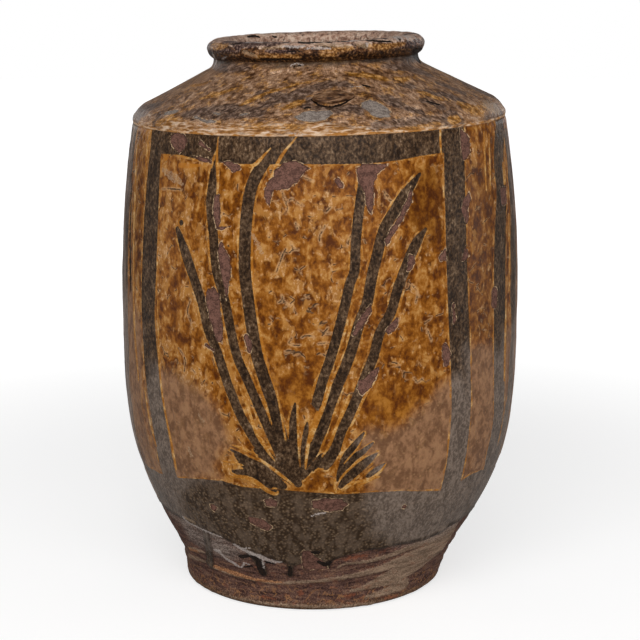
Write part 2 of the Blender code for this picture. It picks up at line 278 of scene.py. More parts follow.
def inner_shoulder():
    """The inside of the shoulder, down to the crease."""
    corner = (INNER_CORNER_RADIUS, shoulder_height(INNER_CORNER_RADIUS) - SHOULDER_DROP)
    low = (INNER_CORNER_RADIUS, CREASE_HEIGHT - INNER_SHOULDER_ROUNDING)
    arc = rounded_corner(NECK_SEAM_INSIDE, corner, low, INNER_SHOULDER_ROUNDING)
    end = (float(inner_radius(CREASE_HEIGHT)), CREASE_HEIGHT)
    return np.concatenate([[NECK_SEAM_INSIDE], arc[arc[:, 1] > CREASE_HEIGHT], [end]])


def inner_foot():
    """The inside of the foot, with its cove to the floor."""
    toe = float(inner_radius(BASE_THICKNESS)) - COVE_RADIUS
    side = float(inner_radius(BASE_THICKNESS + COVE_RADIUS))
    top = (float(inner_radius(FOOT_SEAM_HEIGHT)), FOOT_SEAM_HEIGHT)
    cove = rounded_corner(top, (side, BASE_THICKNESS), (0, BASE_THICKNESS), side - toe)
    return np.concatenate([[top], cove])


FLOOR_START = inner_foot()[-1]
UNDERSIDE_EDGE = base_edge()[0]
UNDERSIDE = np.array(
    (
        (0, BASE_RECESS),
        (UNDERSIDE_EDGE[0] - CONTACT_WIDTH - 2 * BASE_RECESS, BASE_RECESS),
        (UNDERSIDE_EDGE[0] - CONTACT_WIDTH, 0),
        UNDERSIDE_EDGE,
    )
)


def wall_section(name, low, high, slot):
    """A section of plain wall between two heights."""
    return name, wall_run(low, high), wall_run(high, low, inner_radius), ROW_STEP, slot


# Each section: its node, outer run, inner run, row step and material slot
SECTIONS = (
    ("base_disc", base_edge(), (FLOOR_START, (0, BASE_THICKNESS)), ROW_STEP, "clay_base"),
    ("foot_wall", wall_run(BASE_THICKNESS, FOOT_SEAM_HEIGHT), inner_foot(), ROW_STEP, "clay_foot"),
    wall_section("lower_wall", FOOT_SEAM_HEIGHT, LOWER_SEAM_HEIGHT, "glaze_dark"),
    wall_section("belly_wall", LOWER_SEAM_HEIGHT, UPPER_SEAM_HEIGHT, "glaze_amber"),
    wall_section("upper_wall", UPPER_SEAM_HEIGHT, CREASE_HEIGHT, "glaze_amber"),
    ("shoulder", np.concatenate([outer_arc, [NECK_SEAM]]), inner_shoulder(), ROW_STEP, "glaze_olive"),
    ("neck", neck_sweep(), throat(), FINE_STEP, "glaze_olive"),
    ("rolled_rim", rim_roll(), None, FINE_STEP, "clay_rim"),
)
# Places of two sections in that list
UPPER_WALL = 4
ROLLED_RIM = 7


def join_runs():
    """All outer runs as one line of rows, and the first and last row of each section."""
    rows = [np.array(SECTIONS[0][1][:1], float)]
    spans = []
    count = 1
    for _, run, _, step, _ in SECTIONS:
        points = evenly(run, step)
        rows.append(points[1:])
        spans.append((count - 1, count + len(points) - 2))
        count += len(points) - 1
    return np.concatenate(rows), spans


ROWS, SPANS = join_runs()
ALONG = np.concatenate([[0], np.cumsum(np.linalg.norm(np.diff(ROWS, axis=0), axis=1))])
AZIMUTHS = 2 * math.pi * np.arange(COLUMNS) / COLUMNS - math.pi
WAY = np.gradient(ROWS, axis=0) / np.linalg.norm(np.gradient(ROWS, axis=0), axis=1)[:, None]
OUTWARD = np.stack([WAY[:, 1], -WAY[:, 0]], 1)


def along_at(height):
    """Distance along the outer line at a height of the wall."""
    upright = ROWS[: SPANS[UPPER_WALL][1] + 1]
    return float(np.interp(height, upright[:, 1], ALONG[: len(upright)]))


CREASE = along_at(CREASE_HEIGHT)


def settle(place):
    """Lean and tilt upright points as the whole stack does."""
    rim_top = RIM_SEAT_HEIGHT + RIM_BULGE_RISE
    leans = (
        (0, FOOT_LEAN),
        (HEEL_HEIGHT, HEEL_LEAN),
        (UPRIGHT_HEIGHT, 0),
        (BELLY_HEIGHT, 0),
        (CORNER_HEIGHT, CORNER_LEAN),
        (RIM_SEAT_HEIGHT, MOUTH_LEAN),
        (rim_top, MOUTH_LEAN),
    )
    tilts = ((0, 0), (CORNER_HEIGHT, CORNER_TILT_SHARE), (RIM_SEAT_HEIGHT, MOUTH_TILT_SHARE))
    height = place[..., 2]
    moved = place.copy()
    moved[..., 2] = height + smooth_between(tilts, height) * place[..., 0]
    moved[..., 0] = place[..., 0] + smooth_between(leans, height)
    return moved


def around(radius, azimuth, height):
    """Upright points from a radius, an azimuth from the front, and a height."""
    return np.stack([radius * np.sin(azimuth), -radius * np.cos(azimuth), height + 0 * azimuth], -1)


def surface(azimuth, along):
    """Points of the undisplaced, settled outside."""
    radius = np.interp(along, ALONG, ROWS[:, 0])
    height = np.interp(along, ALONG, ROWS[:, 1])
    return settle(around(radius, azimuth, height))


def project(place):
    """Where the photograph shows a point, and its depth."""
    offset = place - np.array(CAMERA_PLACE)
    cosine = math.cos(CAMERA_PITCH)
    sine = math.sin(CAMERA_PITCH)
    depth = offset[..., 1] * cosine - offset[..., 2] * sine
    rise = offset[..., 1] * sine + offset[..., 2] * cosine
    across = PICTURE_WIDTH / 2 + FOCAL_PIXELS * offset[..., 0] / depth
    down = PICTURE_WIDTH / 2 - FOCAL_PIXELS * rise / depth
    return np.stack([across, down], -1), depth


class Finder:
    """Finds the place on the jar, as azimuth and distance along, that a pixel shows."""

    def __init__(self):
        azimuths = AZIMUTHS[::2]
        rows = np.arange(0, len(ROWS), 2)
        grid = around(ROWS[rows, 0][:, None], azimuths[None], ROWS[rows, 1][:, None])
        facing = around(OUTWARD[rows, 0][:, None], azimuths[None], OUTWARD[rows, 1][:, None])
        view = np.array(CAMERA_PLACE) - settle(grid)
        seen = (facing * view).sum(-1) > 0
        pixels, depth = project(settle(grid))
        self.pixels = pixels[seen]
        self.depth = depth[seen]
        self.azimuth = np.broadcast_to(azimuths[None], seen.shape)[seen]
        self.along = np.broadcast_to(ALONG[rows][:, None], seen.shape)[seen]

    def start(self, pixel):
        distance = ((self.pixels - pixel) ** 2).sum(1)
        near = np.flatnonzero(distance < 6)
        if len(near):
            front = self.depth[near]
            near = near[front < front.min() + 0.02]
            best = near[distance[near].argmin()]
        else:
            best = distance.argmin()
        return self.azimuth[best], self.along[best]

    def find(self, pixels):
        pixels = np.atleast_2d(np.array(pixels, float))
        first = np.array([self.start(pixel) for pixel in pixels])
        place = first.copy()
        small = 1e-4
        for _ in range(5):
            here = project(surface(place[:, 0], place[:, 1]))[0]
            by_azimuth = (project(surface(place[:, 0] + small, place[:, 1]))[0] - here) / small
            by_along = (project(surface(place[:, 0], place[:, 1] + small))[0] - here) / small
            error = pixels - here
            size = by_azimuth[:, 0] * by_along[:, 1] - by_azimuth[:, 1] * by_along[:, 0]
            size = np.where(abs(size) < 1e-3, 1e-3, size)
            turn = (error[:, 0] * by_along[:, 1] - error[:, 1] * by_along[:, 0]) / size
            climb = (by_azimuth[:, 0] * error[:, 1] - by_azimuth[:, 1] * error[:, 0]) / size
            place[:, 0] += np.clip(turn, -0.03, 0.03)
            place[:, 1] += np.clip(climb, -0.006, 0.006)
        lost = abs(place - first).max(1) > 0.08
        place[lost] = first[lost]
        return place


finder = Finder()

# Noise


def lattice_value(cell, seed):
    """A repeatable value from -1 to 1 at each whole-number cell."""
    x, y, z = (cell[..., k].astype(np.int64).astype(np.uint64) for k in range(3))
    mixed = x * np.uint64(73856093) ^ y * np.uint64(19349663) ^ z * np.uint64(83492791)
    mixed ^= np.uint64(seed * 2654435761 % 2**32)
    mixed = (mixed ^ (mixed >> np.uint64(13))) * np.uint64(1274126177)
    mixed = (mixed ^ (mixed >> np.uint64(16))) & np.uint64(0xFFFFFF)
    return mixed.astype(float) / 0x7FFFFF - 1


def noise(place, size, seed, octaves=1):
    """Smooth noise of about -1 to 1 whose lumps are one size across."""
    total = 0
    for octave in range(octaves):
        point = place / size * 2**octave
        cell = np.floor(point)
        share = point - cell
        share = share * share * share * (share * (share * 6 - 15) + 10)
        value = 0
        for corner in range(8):
            step = np.array([corner >> 2 & 1, corner >> 1 & 1, corner & 1])
            weight = np.where(step, share, 1 - share).prod(-1)
            value = value + weight * lattice_value(cell + step, seed + octave)
        total = total + value / 2**octave
    return total / (2 - 0.5 ** (octaves - 1))


def soft_step(value, low, high):
    """0 below low, 1 above high, smooth between."""
    share = np.clip((value - low) / (high - low), 0, 1)
    return share * share * (3 - 2 * share)


# The unrolled grid of the outside: azimuth by distance along

def over_grid(column):
    """A value for each row, repeated over the columns."""
    return column[:, None] + 0 * AZIMUTHS[None]


GRID_RADIUS = over_grid(ROWS[:, 0])
GRID_HEIGHT = over_grid(ROWS[:, 1])
GRID_ALONG = over_grid(ALONG)
GRID_AZIMUTH = AZIMUTHS[None] + 0 * ALONG[:, None]
UNROLLED_RADIUS = 0.15
UNROLLED = around(UNROLLED_RADIUS, GRID_AZIMUTH, GRID_ALONG)
UPRIGHT = around(GRID_RADIUS, GRID_AZIMUTH, GRID_HEIGHT)
# The unrolled place without its distance along
ROUND = UNROLLED * (1, 1, 0)
# Slopes of the shoulder's streaks, up to the right, by pixel x of the photograph
FLOW_SLOPES = (
    (110, 0.62), (170, 0.50), (210, 0.36), (260, 0.28), (310, 0.12), (345, -0.05), (380, -0.35),
    (430, -0.50), (530, -0.55),
)
PIXEL_SIZE = 0.0008


def flow_places():
    """Each place's distance across and along the streaks that the photograph shows on the shoulder."""
    pixel, _ = project(surface(GRID_AZIMUTH, GRID_ALONG))
    x = np.linspace(FLOW_SLOPES[0][0], FLOW_SLOPES[-1][0], 200)
    slope = np.interp(x, *np.array(FLOW_SLOPES).T)
    rise = np.concatenate([[0], np.cumsum(slope[1:] * np.diff(x))])
    across = pixel[..., 1] + np.interp(pixel[..., 0], x, rise)
    return PIXEL_SIZE * np.stack([across, 0 * across, pixel[..., 0]], -1)


FLOW = flow_places()
# Kinds of marks, each a grid of signed distances from its edge, negative inside
KINDS = (
    "dark", "chip", "pale", "amber", "grey", "black", "line", "crack", "painted_sheen", "tan", "red", "white",
    "flank", "deep", "painted_shade",
)
marks = {kind: np.full(GRID_RADIUS.shape, REACH) for kind in KINDS}


def near_grid(azimuths, alongs, pad):
    """The grid around some places: its rows, columns, azimuths, radii and distances along."""
    low = np.searchsorted(ALONG, min(alongs) - pad)
    high = np.searchsorted(ALONG, max(alongs) + pad)
    if high <= low:
        return None
    turn = pad / max(ROWS[low:high, 0].min(), LEAST_RADIUS)
    first = math.floor((min(azimuths) - turn + math.pi) / (2 * math.pi) * COLUMNS)
    last = math.ceil((max(azimuths) + turn + math.pi) / (2 * math.pi) * COLUMNS)
    columns = np.arange(first, min(last, first + COLUMNS - 1) + 1)
    azimuth = (2 * math.pi * columns / COLUMNS - math.pi)[None]
    rows = slice(low, high)
    return rows, columns % COLUMNS, azimuth, ROWS[rows, 0][:, None], ALONG[rows][:, None]


def from_run(near, start, end):
    """Each place's distance from a straight run, and the share of the run that is nearest to it."""
    _, _, azimuth, radius, along = near
    x = (azimuth - start[0]) * radius
    y = along - start[1]
    dx = (end[0] - start[0]) * radius
    dy = end[1] - start[1]
    share = np.clip((x * dx + y * dy) / (dx * dx + dy * dy + 1e-12), 0, 1)
    return np.hypot(x - share * dx, y - share * dy), share


def bring_in(kind, near, distance):
    """Lowers a kind's signed distances to those given."""
    rows, columns = near[:2]
    block = marks[kind][rows]
    block[:, columns] = np.minimum(block[:, columns], distance)


def lay_segment(kind, start, end, half_start, half_end):
    """Brings one straight piece of a stroke into its kind's signed distances."""
    pad = max(half_start, half_end) + REACH
    near = near_grid((start[0], end[0]), (start[1], end[1]), pad)
    if near:
        distance, share = from_run(near, start, end)
        bring_in(kind, near, distance - half_start - share * (half_end - half_start))


def smooth_line(points, per_span=4):
    """Extra points between those given, on a Catmull-Rom curve."""
    points = np.array(points, float)
    if len(points) < 3:
        return points
    padded = np.concatenate([[2 * points[0] - points[1]], points, [2 * points[-1] - points[-2]]])
    made = []
    for k in range(len(points) - 1):
        a, b, c, d = padded[k : k + 4]
        for t in np.arange(per_span) / per_span:
            bend = 2 * b + (c - a) * t + (2 * a - 5 * b + 4 * c - d) * t**2
            made.append(0.5 * (bend + (3 * b - 3 * c + d - a) * t**3))
    made.append(points[-1])
    return np.array(made)


def lay_stroke(kind, line):
    """Lays a stroke given as rows of azimuth, distance along and half width."""
    for start, end in zip(line[:-1], line[1:]):
        lay_segment(kind, start[:2], end[:2], start[2], end[2])
    if len(line) == 1:
        lay_segment(kind, line[0][:2], line[0][:2], line[0][2], line[0][2])


def from_pixels(points):
    """Turns rows of pixel x, y and width into azimuth, distance along and half width."""
    points = np.array(points, float)
    if len(points) == 1:
        place = finder.find(points[:, :2])
        scale = project(surface(place[:, 0], place[:, 1]))[1] / FOCAL_PIXELS
        return np.concatenate([place, (points[:, 2:] / 2 * scale[:, None])], 1)
    points = smooth_line(points, 3)
    way = np.gradient(points[:, :2], axis=0)
    way /= np.maximum(np.linalg.norm(way, axis=1), 1e-6)[:, None]
    side = np.stack([-way[:, 1], way[:, 0]], 1) * points[:, 2:] / 2
    one = finder.find(points[:, :2] - side)
    other = finder.find(points[:, :2] + side)
    radius = np.interp((one[:, 1] + other[:, 1]) / 2, ALONG, ROWS[:, 0])
    half = np.hypot((one[:, 0] - other[:, 0]) * radius, one[:, 1] - other[:, 1]) / 2
    return np.concatenate([(one + other) / 2, np.minimum(half, 0.012)[:, None]], 1)


def lay_outline(kind, corners):
    """Brings a closed outline of azimuths and distances along into its kind's signed distances."""
    near = near_grid(corners[:, 0], corners[:, 1], REACH)
    _, _, azimuth, radius, along = near
    distance = np.full((along.size, azimuth.size), np.inf)
    inside = np.zeros(distance.shape, bool)
    for start, end in zip(corners, np.roll(corners, -1, 0)):
        distance = np.minimum(distance, from_run(near, start, end)[0])
        if end[1] != start[1]:
            crosses = (start[1] > along) != (end[1] > along)
            meets = (end[0] - start[0]) * radius * (along - start[1]) / (end[1] - start[1])
            inside ^= crosses & ((azimuth - start[0]) * radius < meets)
    bring_in(kind, near, np.where(inside, -distance, distance))


def clear_outline(outline):
    """Takes the dark paint away inside an outline given in pixels."""
    kept = marks["dark"]
    marks["dark"] = np.full(kept.shape, REACH)
    lay_outline("dark", finder.find(outline))
    marks["dark"] = np.maximum(kept, -marks["dark"])


def paint(kind, *strokes):
    """Lays strokes given in pixels of the photograph, each a list of (x, y, width)."""
    for stroke in strokes:
        lay_stroke(kind, from_pixels(stroke))


def tapered(points, width, tip=1.5, root=None):
    """Pixel points with a width that narrows to the first point's tip."""
    count = len(points)
    root = width if root is None else root
    widths = [tip] + [width] * (count - 2) + [root]
    return [(x, y, w) for (x, y), w in zip(points, widths)]


# The painted plant of the front panel, in pixels of the photograph

LEAF_PIXELS = (
    (
        (177, 229), (185, 253), (193, 277), (202, 304), (208, 330), (217, 352), (226.5, 381), (233, 398),
        (240, 415), (249, 431), (258.7, 446), (271, 460), (288, 477),
    ),
    (
        (213.8, 160), (211.8, 189), (210.4, 207), (213, 234), (215.8, 270), (223.8, 297), (230.5, 330),
        (237, 357), (245, 375), (251, 389), (258.7, 406.8), (266, 423.8), (275.8, 445.8), (286, 468),
    ),
    (
        (292, 138), (270.7, 154), (257, 174), (250.6, 190), (246.6, 214), (245, 241), (244.6, 270),
        (246.6, 290), (250.6, 320), (256, 352), (263, 375), (268.5, 391), (274.6, 411.7), (280.6, 433.6),
        (287, 455),
    ),
    (
        (366, 160), (361.5, 194), (358.8, 214), (356, 241), (354.8, 270), (350, 283.5), (345.4, 304),
        (338.7, 330), (331, 357), (325, 374), (320.8, 387), (316.5, 404), (311.5, 418),
    ),
    (
        (420, 174), (405.7, 194), (395, 211), (384, 230), (377.6, 254), (372, 277), (367, 304),
        (358.8, 325), (353.5, 344), (346.8, 364), (337.9, 385), (329.4, 406.8), (323.3, 426.3),
        (317.2, 440), (312, 453), (304, 467),
    ),
    (
        (426, 229), (416.4, 243.5), (408.4, 261), (397.7, 290), (391, 313), (380, 333), (373.6, 357),
        (364, 380), (356.2, 399.5), (348.9, 416.5), (341.5, 431), (336.7, 443.3), (327, 458), (315, 469),
    ),
)
LEAF_WIDTHS = (9, 9, 12, 10, 11, 10)
LEAF_TIPS = (4, 3, 14, 8, 3, 3)
LEAF_ROOTS = (8, 8, 9, 4, 6, 7)
BLADE_PIXELS = (
    ((236, 455, 4), (246, 463, 12), (258, 471, 17), (270, 479, 14), (283, 486, 7)),
    ((231, 450, 2), (240, 455, 4), (248, 460, 5)),
    ((254, 450, 2), (262, 458, 6), (270, 466, 7), (280, 474, 6), (292, 483, 4)),
    ((233, 471.5, 3), (244, 474, 8), (258, 480, 8), (270, 486, 5)),
    (
        (295.3, 402, 1.5), (293.8, 412, 5), (292.8, 425, 7.5), (293.3, 440, 8), (294.5, 455, 9),
        (296, 470, 9),
    ),
    ((307.4, 422, 1.5), (306, 430, 5), (304, 443, 5), (302, 457, 4), (301, 470, 4)),
    ((286, 448, 6), (290, 462, 10), (295, 474, 11), (298, 484, 8)),
    ((364, 433, 2), (356, 443.5, 6), (348, 453.5, 7), (342.5, 463, 6), (338.5, 475, 5)),
    ((373, 443, 2), (364, 451, 5.5), (355, 457, 7), (347, 465, 7), (341, 474, 6), (337.5, 480, 4)),
    ((377, 453.5, 2), (369, 460, 7), (360, 467, 9.5), (351, 475, 10), (345, 481, 8), (341, 486, 5)),
    ((385, 463.5, 1.5), (377, 469.5, 5), (370, 474.5, 5), (366.5, 476.5, 2)),
    ((342, 440, 3), (337, 450, 7), (331, 460, 9), (326, 468, 5)),
    ((322, 455, 4), (316, 462, 5), (309, 471, 5), (303, 478, 4)),
    ((294, 460, 4), (300, 467, 7), (305, 474, 6)),
    ((181, 222.7, 6),),
)

# Borders of the front, in pixels
LEFT_BAR_PIXELS = (
    (157.5, 121, 9), (152, 193, 13), (148.8, 270, 14.5), (147.8, 317, 12.5), (152.8, 383, 14.5),
    (158.5, 420, 14), (165.6, 460, 16), (173, 486, 12),
)
RIGHT_BAR_PIXELS = (
    (454, 121, 20), (455.2, 193, 21.5), (457.5, 270, 21), (459, 317, 20), (461.5, 384, 19),
    (460.9, 420, 19.7), (456.5, 460, 17), (449.5, 492, 15),
)
OUTER_BAR_PIXELS = (
    (495, 113, 25), (496.5, 140, 23), (498, 165, 20), (501, 193, 17), (500.5, 225, 14), (500, 270, 12),
    (499.7, 384, 11.5), (497.5, 420, 13), (489, 460, 13), (478, 500, 14),
)
FAR_BAR_PIXELS = (
    (506, 140, 9), (510, 193, 11), (512, 270, 12), (512, 330, 12), (509, 384, 11), (504, 420, 11),
    (496, 460, 11),
)
TOP_BAND_PIXELS = (
    (156, 153), (181, 155), (210, 162), (244, 164), (304, 164), (347, 164), (374, 163), (400, 160),
    (420, 156), (440, 153), (452, 152),
)
PANEL_FOOT_PIXELS = (
    (165, 476), (177, 478), (201, 479), (222, 481), (241.6, 487), (282, 490), (320, 493), (340, 494.7),
    (370, 492.5), (400, 491), (442, 491),
)

CHIP_PIXELS = (
    ((217, 228, 4), (222, 228, 3), (230, 226, 2)),
    ((246, 337, 5), (249, 345, 6), (249, 352, 4)),
    ((337, 180, 5), (341, 185, 5)),
    ((495, 293, 6), (495, 302, 6)),
    ((445, 347, 6), (447, 355, 8), (447, 364, 5)),
    ((404, 507, 5),),
    ((200, 143, 4), (209, 150, 3)),
    ((454, 306, 3), (455, 322, 3)),
    ((206, 345, 3), (213, 350, 3)),
)
CHIP_OUTLINES = (
    (
        (169.6, 135), (175.4, 132.7), (182.3, 133.8), (187, 139.6), (184.6, 147.7), (178.8, 153.5),
        (173, 148.8), (169.6, 142),
    ),
    ((192.7, 155.8), (202, 157), (208.8, 158), (212.3, 162.7), (205.4, 162.7), (196, 159.7)),
    ((221.5, 161.5), (230.8, 161.5), (238.9, 165), (241.2, 169), (234.2, 172), (229.6, 169.6), (225, 165)),
    (
        (283.9, 162.7), (295.4, 160.4), (310.4, 168.5), (302.3, 174.2), (297.7, 182.3), (288.5, 188),
        (279.2, 190.4), (273.5, 189.2), (271.2, 198.5), (268.9, 206.5), (265.4, 200.8), (264.2, 189.2),
        (266.5, 181.2), (273.5, 177.7), (274.6, 169.6),
    ),
    ((213.5, 193.8), (219.2, 195), (220, 207.7), (220, 221.5), (217.9, 231.8), (215, 224), (213, 212.3)),
    (
        (216.9, 251.5), (221, 240), (223.9, 248), (229.6, 258.5), (230.8, 272.3), (228, 290), (226, 303),
        (222.7, 285), (219.2, 267.7),
    ),
    (
        (206.5, 288.5), (213.5, 287.3), (219.2, 295.4), (220.4, 311.5), (222.5, 329.8), (222, 344),
        (216, 340), (211.3, 325.8), (207.7, 311.5), (205.4, 297.7),
    ),
    (
        (356.2, 167.4), (363, 163.6), (373.4, 163.6), (389.7, 164), (384, 169.3), (377.3, 175),
        (374.4, 186.6), (373.4, 205.7), (371.5, 217), (366.5, 205.7), (364.5, 191.3), (358, 181.8),
    ),
    (
        (411.6, 187), (413, 200), (405, 216), (396, 232), (386, 248), (385, 240), (391, 230), (397, 219),
        (404, 206),
    ),
    ((379, 367), (377, 375), (370, 384), (362, 391), (357, 389), (363, 380), (371, 371)),
    ((371, 304), (372, 312), (366, 322), (357, 335), (352, 336), (356, 325), (363, 313)),
    ((398, 317), (399, 324), (394, 331), (388, 336), (386, 331), (391, 323)),
    (
        (461, 127), (464, 131), (467, 134), (470, 138), (471, 144), (471, 152), (468, 159), (464, 160),
        (462, 152), (461, 140),
    ),
    ((210, 504), (214, 504), (217, 508), (214, 512), (211, 509)),
    ((463.2, 201), (469, 192), (471.8, 197.7), (469, 208), (470, 219.6), (466.7, 224.2), (462, 210.4)),
    ((446, 247.2), (448.3, 261), (441.4, 261), (439.6, 257.5), (443.7, 251.8)),
    ((466.7, 244.9), (470, 256.4), (467.8, 261), (462, 261), (464.4, 251.8)),
    ((409.2, 253.4), (415, 256.7), (415, 263.3), (410.3, 270.2), (406.9, 271.3), (408, 263.3)),
    ((501, 187.4), (507, 186.2), (507.6, 203.5), (502.4, 205.8)),
    (
        (311.8, 501.5), (324.3, 498.7), (342.3, 499.7), (347.7, 504.4), (342.3, 510.5), (331.5, 511.6),
        (320.8, 510.5), (312.9, 508.7),
    ),
    ((263, 500), (271, 498.5), (277.7, 502), (276, 507), (267, 507)),
    ((247, 515.9), (263.3, 519.5), (272.3, 526.7), (268, 531), (259.7, 528.5), (250.8, 523)),
    ((302.8, 550), (310, 551), (313.6, 555.6), (322.6, 560.8), (328, 569.7), (302.8, 569.7), (301, 559)),
    ((359, 380), (375.6, 379), (371.8, 387.3), (362, 395.8), (358.4, 391)),
)
GREY_OUTLINES = (
    (
        (294, 116), (303, 111), (312, 110), (318, 111), (330, 109), (333, 113), (326, 119), (316, 121),
        (306, 121.5), (297, 119),
    ),
    (
        (361, 102), (370, 99), (378, 102), (386, 107), (391, 111), (390, 116), (380, 117.5), (372, 115),
        (368, 110), (362, 107),
    ),
)
AMBER_AND_LIT_PIXELS = (
    (
        (252, 232, 2), (251, 270, 4), (253, 300, 4.5), (258, 330, 5), (264, 360, 5), (271, 385, 4),
        (279, 412, 3),
    ),
    ((330, 384, 3), (322, 404, 4), (312, 428, 4)),
    ((180, 165, 5), (190, 166, 4), (200, 165, 2)),
    ((164, 151, 3), (166, 157, 5)),
    # the lit places along the crease
    ((158, 122, 6), (177, 121, 8)),
    ((225, 130, 4), (262, 127, 8), (300, 128, 8), (345, 131, 5)),
    ((452, 121, 11), (458, 119, 8)),
    ((473, 113, 9), (482, 108, 8)),
    # lit streaks on the shoulder
    ((201, 98, 1.5), (214, 94.5, 3), (226, 91, 2.5), (236, 88, 1.2)),
    ((241, 104.5, 1.5), (254, 98.5, 3), (268, 92, 2.5), (283, 88, 1.6), (300, 83, 1.4), (317, 79.5, 1)),
    ((281, 110, 2), (290, 105.5, 5), (298, 102, 5), (303, 100, 2.5)),
    ((190, 85, 1), (200, 84, 1.6), (209, 81, 1.2)),
    ((352, 74, 3), (368, 75, 4), (385, 79, 4)),
    ((420, 92, 3), (430, 95, 3.5), (440, 99, 3)),
    ((462, 104, 4), (472, 108, 6), (480, 112, 6)),
    ((397, 78, 3), (403, 79, 4), (409, 78, 2)),
    ((168, 117, 4), (175, 114, 2)),
    ((380, 131, 2.4), (400, 130, 3), (420, 127, 3), (440, 123, 3)),
    # amber on the rim
    ((211, 45, 4), (217, 46, 5), (226, 45, 3)),
    ((322, 51, 3), (340, 49, 5), (352, 47.5, 4)),
    ((370, 46, 4), (384, 47, 6), (395, 45, 5), (404, 44, 3)),
    ((322, 55, 4), (334, 55, 4)),
    ((256, 57, 3), (272, 57, 4), (290, 57, 4), (298, 57.5, 3)),
    ((322, 60.5, 2), (334, 60.5, 3), (343, 60, 2)),
    # orange ridges of the foot
    (
        (211, 565, 1.6), (222, 569, 2.2), (234, 573, 2.4), (250, 577.5, 2.4), (268, 581, 2.2),
        (282, 582, 1.4),
    ),
    ((190, 549, 1.2), (198, 551.5, 1.6)),
)
LINE_PIXELS = (
    ((217.6, 137, 0.8), (216.9, 150, 1.6), (216.7, 163, 2.6), (218, 175, 2.6), (217.6, 191, 1.2)),
    ((216.5, 150, 0.8), (213.6, 157, 1.8), (211, 168, 1.4)),
    (
        (297, 136, 1.0), (292, 142.5, 1.6), (284, 152, 2.6), (277.7, 162.6, 3.2), (271, 177, 2.4),
        (268, 190, 1.0),
    ),
    ((270.5, 148, 0.9), (264, 155, 2.2), (256, 163.6, 3.8), (249, 167, 2.0)),
    ((441.5, 125, 1.4), (440.8, 140, 2.0), (441.8, 154, 1.4)),
    ((484.5, 132, 1.2), (485.5, 160, 1.8), (487, 190, 1.2)),
    ((489.5, 134, 1.0), (490.5, 165, 1.5), (491, 190, 1.0)),
    ((504, 165, 2.0), (505, 173, 3.0), (505, 182, 2.0)),
    ((509, 215, 1.0), (510, 250, 1.4), (509.5, 290, 1.0)),
    ((506.5, 300, 1.0), (506, 340, 1.8), (505, 380, 1.0)),
    ((151.6, 121, 1.0), (146.5, 150, 1.6), (143.9, 199, 1.4)),
    ((136, 150, 1.0), (134, 200, 1.8), (133, 270, 1.4), (134, 330, 1.8), (138, 380, 1.0)),
    ((143.9, 388, 1.0), (149, 420, 1.6), (155.6, 446, 1.0)),
    (
        (157, 300, 1.0), (158, 345, 1.4), (160, 380, 1.8), (165.3, 415.7, 1.8), (171.4, 445.3, 1.6),
        (176, 470, 1.0),
    ),
    ((231.6, 445, 1.2), (243, 449, 2.6), (257, 455.5, 1.6)),
    ((222.4, 461.6, 1.0), (233, 463, 2.4), (243, 465.7, 1.2)),
    ((257, 457, 1.0), (263, 462, 2.6), (274, 470, 2.8), (283, 477, 2.8), (293, 485, 1.6)),
    (
        (229.5, 477.4, 1.6), (240, 477, 3.4), (251.4, 480, 4.4), (262, 487, 4.4), (268, 491.5, 3.6),
        (276, 494.5, 3.0), (278, 491.5, 1.6),
    ),
    (
        (335.5, 478, 1.4), (334.8, 486, 2.4), (337.5, 492.5, 2.8), (345, 488.5, 2.6), (356, 482.5, 2.4),
        (370, 479.5, 2.2), (380, 477, 1.2),
    ),
    ((366.5, 456, 1.6), (358, 462, 2.0), (349, 469.5, 2.2), (342, 477, 2.0), (339, 482, 1.4)),
    ((386, 464, 1.0), (381, 471, 2.2), (374, 478, 2.4), (366, 482.5, 2.0), (358, 486, 1.4)),
    ((359, 447, 1.0), (350, 457, 1.4), (344, 464, 1.0)),
    ((240, 388, 1.2), (249, 411.7, 2.6), (256.3, 433.6, 3.0), (268, 452, 2.4), (275, 461.5, 1.2)),
    ((258, 386, 2.4), (264.8, 402, 2.4), (269.7, 419, 1.8), (272, 425, 1.0)),
    ((276, 388, 1.6), (280, 409, 1.8), (285, 436, 2.0), (285.8, 442, 1.0)),
    ((299, 419, 1.2), (298.3, 438, 1.8), (299.3, 458, 1.6), (300, 467, 1.0)),
    ((313, 421, 2.4), (309.9, 436, 2.8), (306.2, 460, 2.6), (305.5, 469, 1.4)),
    ((330.6, 387, 1.8), (323, 408, 3.4), (314.8, 428.7, 3.4), (311, 441, 1.6)),
    ((349.5, 394.6, 1.8), (343, 411, 2.6), (336.7, 426.3, 3.0), (329.4, 445.8, 2.6), (322, 457, 1.4)),
    ((375, 382, 1.4), (365.9, 394.6, 2.4), (353.7, 421.4, 2.2), (350, 428, 1.2)),
)
AMBER_OUTLINES = (
    (
        (303, 482), (309, 476), (315, 470), (319, 467), (323, 471), (328, 473), (333, 464), (339, 454),
        (340, 462), (337, 472), (336, 480), (336, 489), (320, 490), (306, 488),
    ),
    ((299, 400), (311, 404), (318, 412), (313, 421), (308, 419), (303, 424), (299, 417)),
)
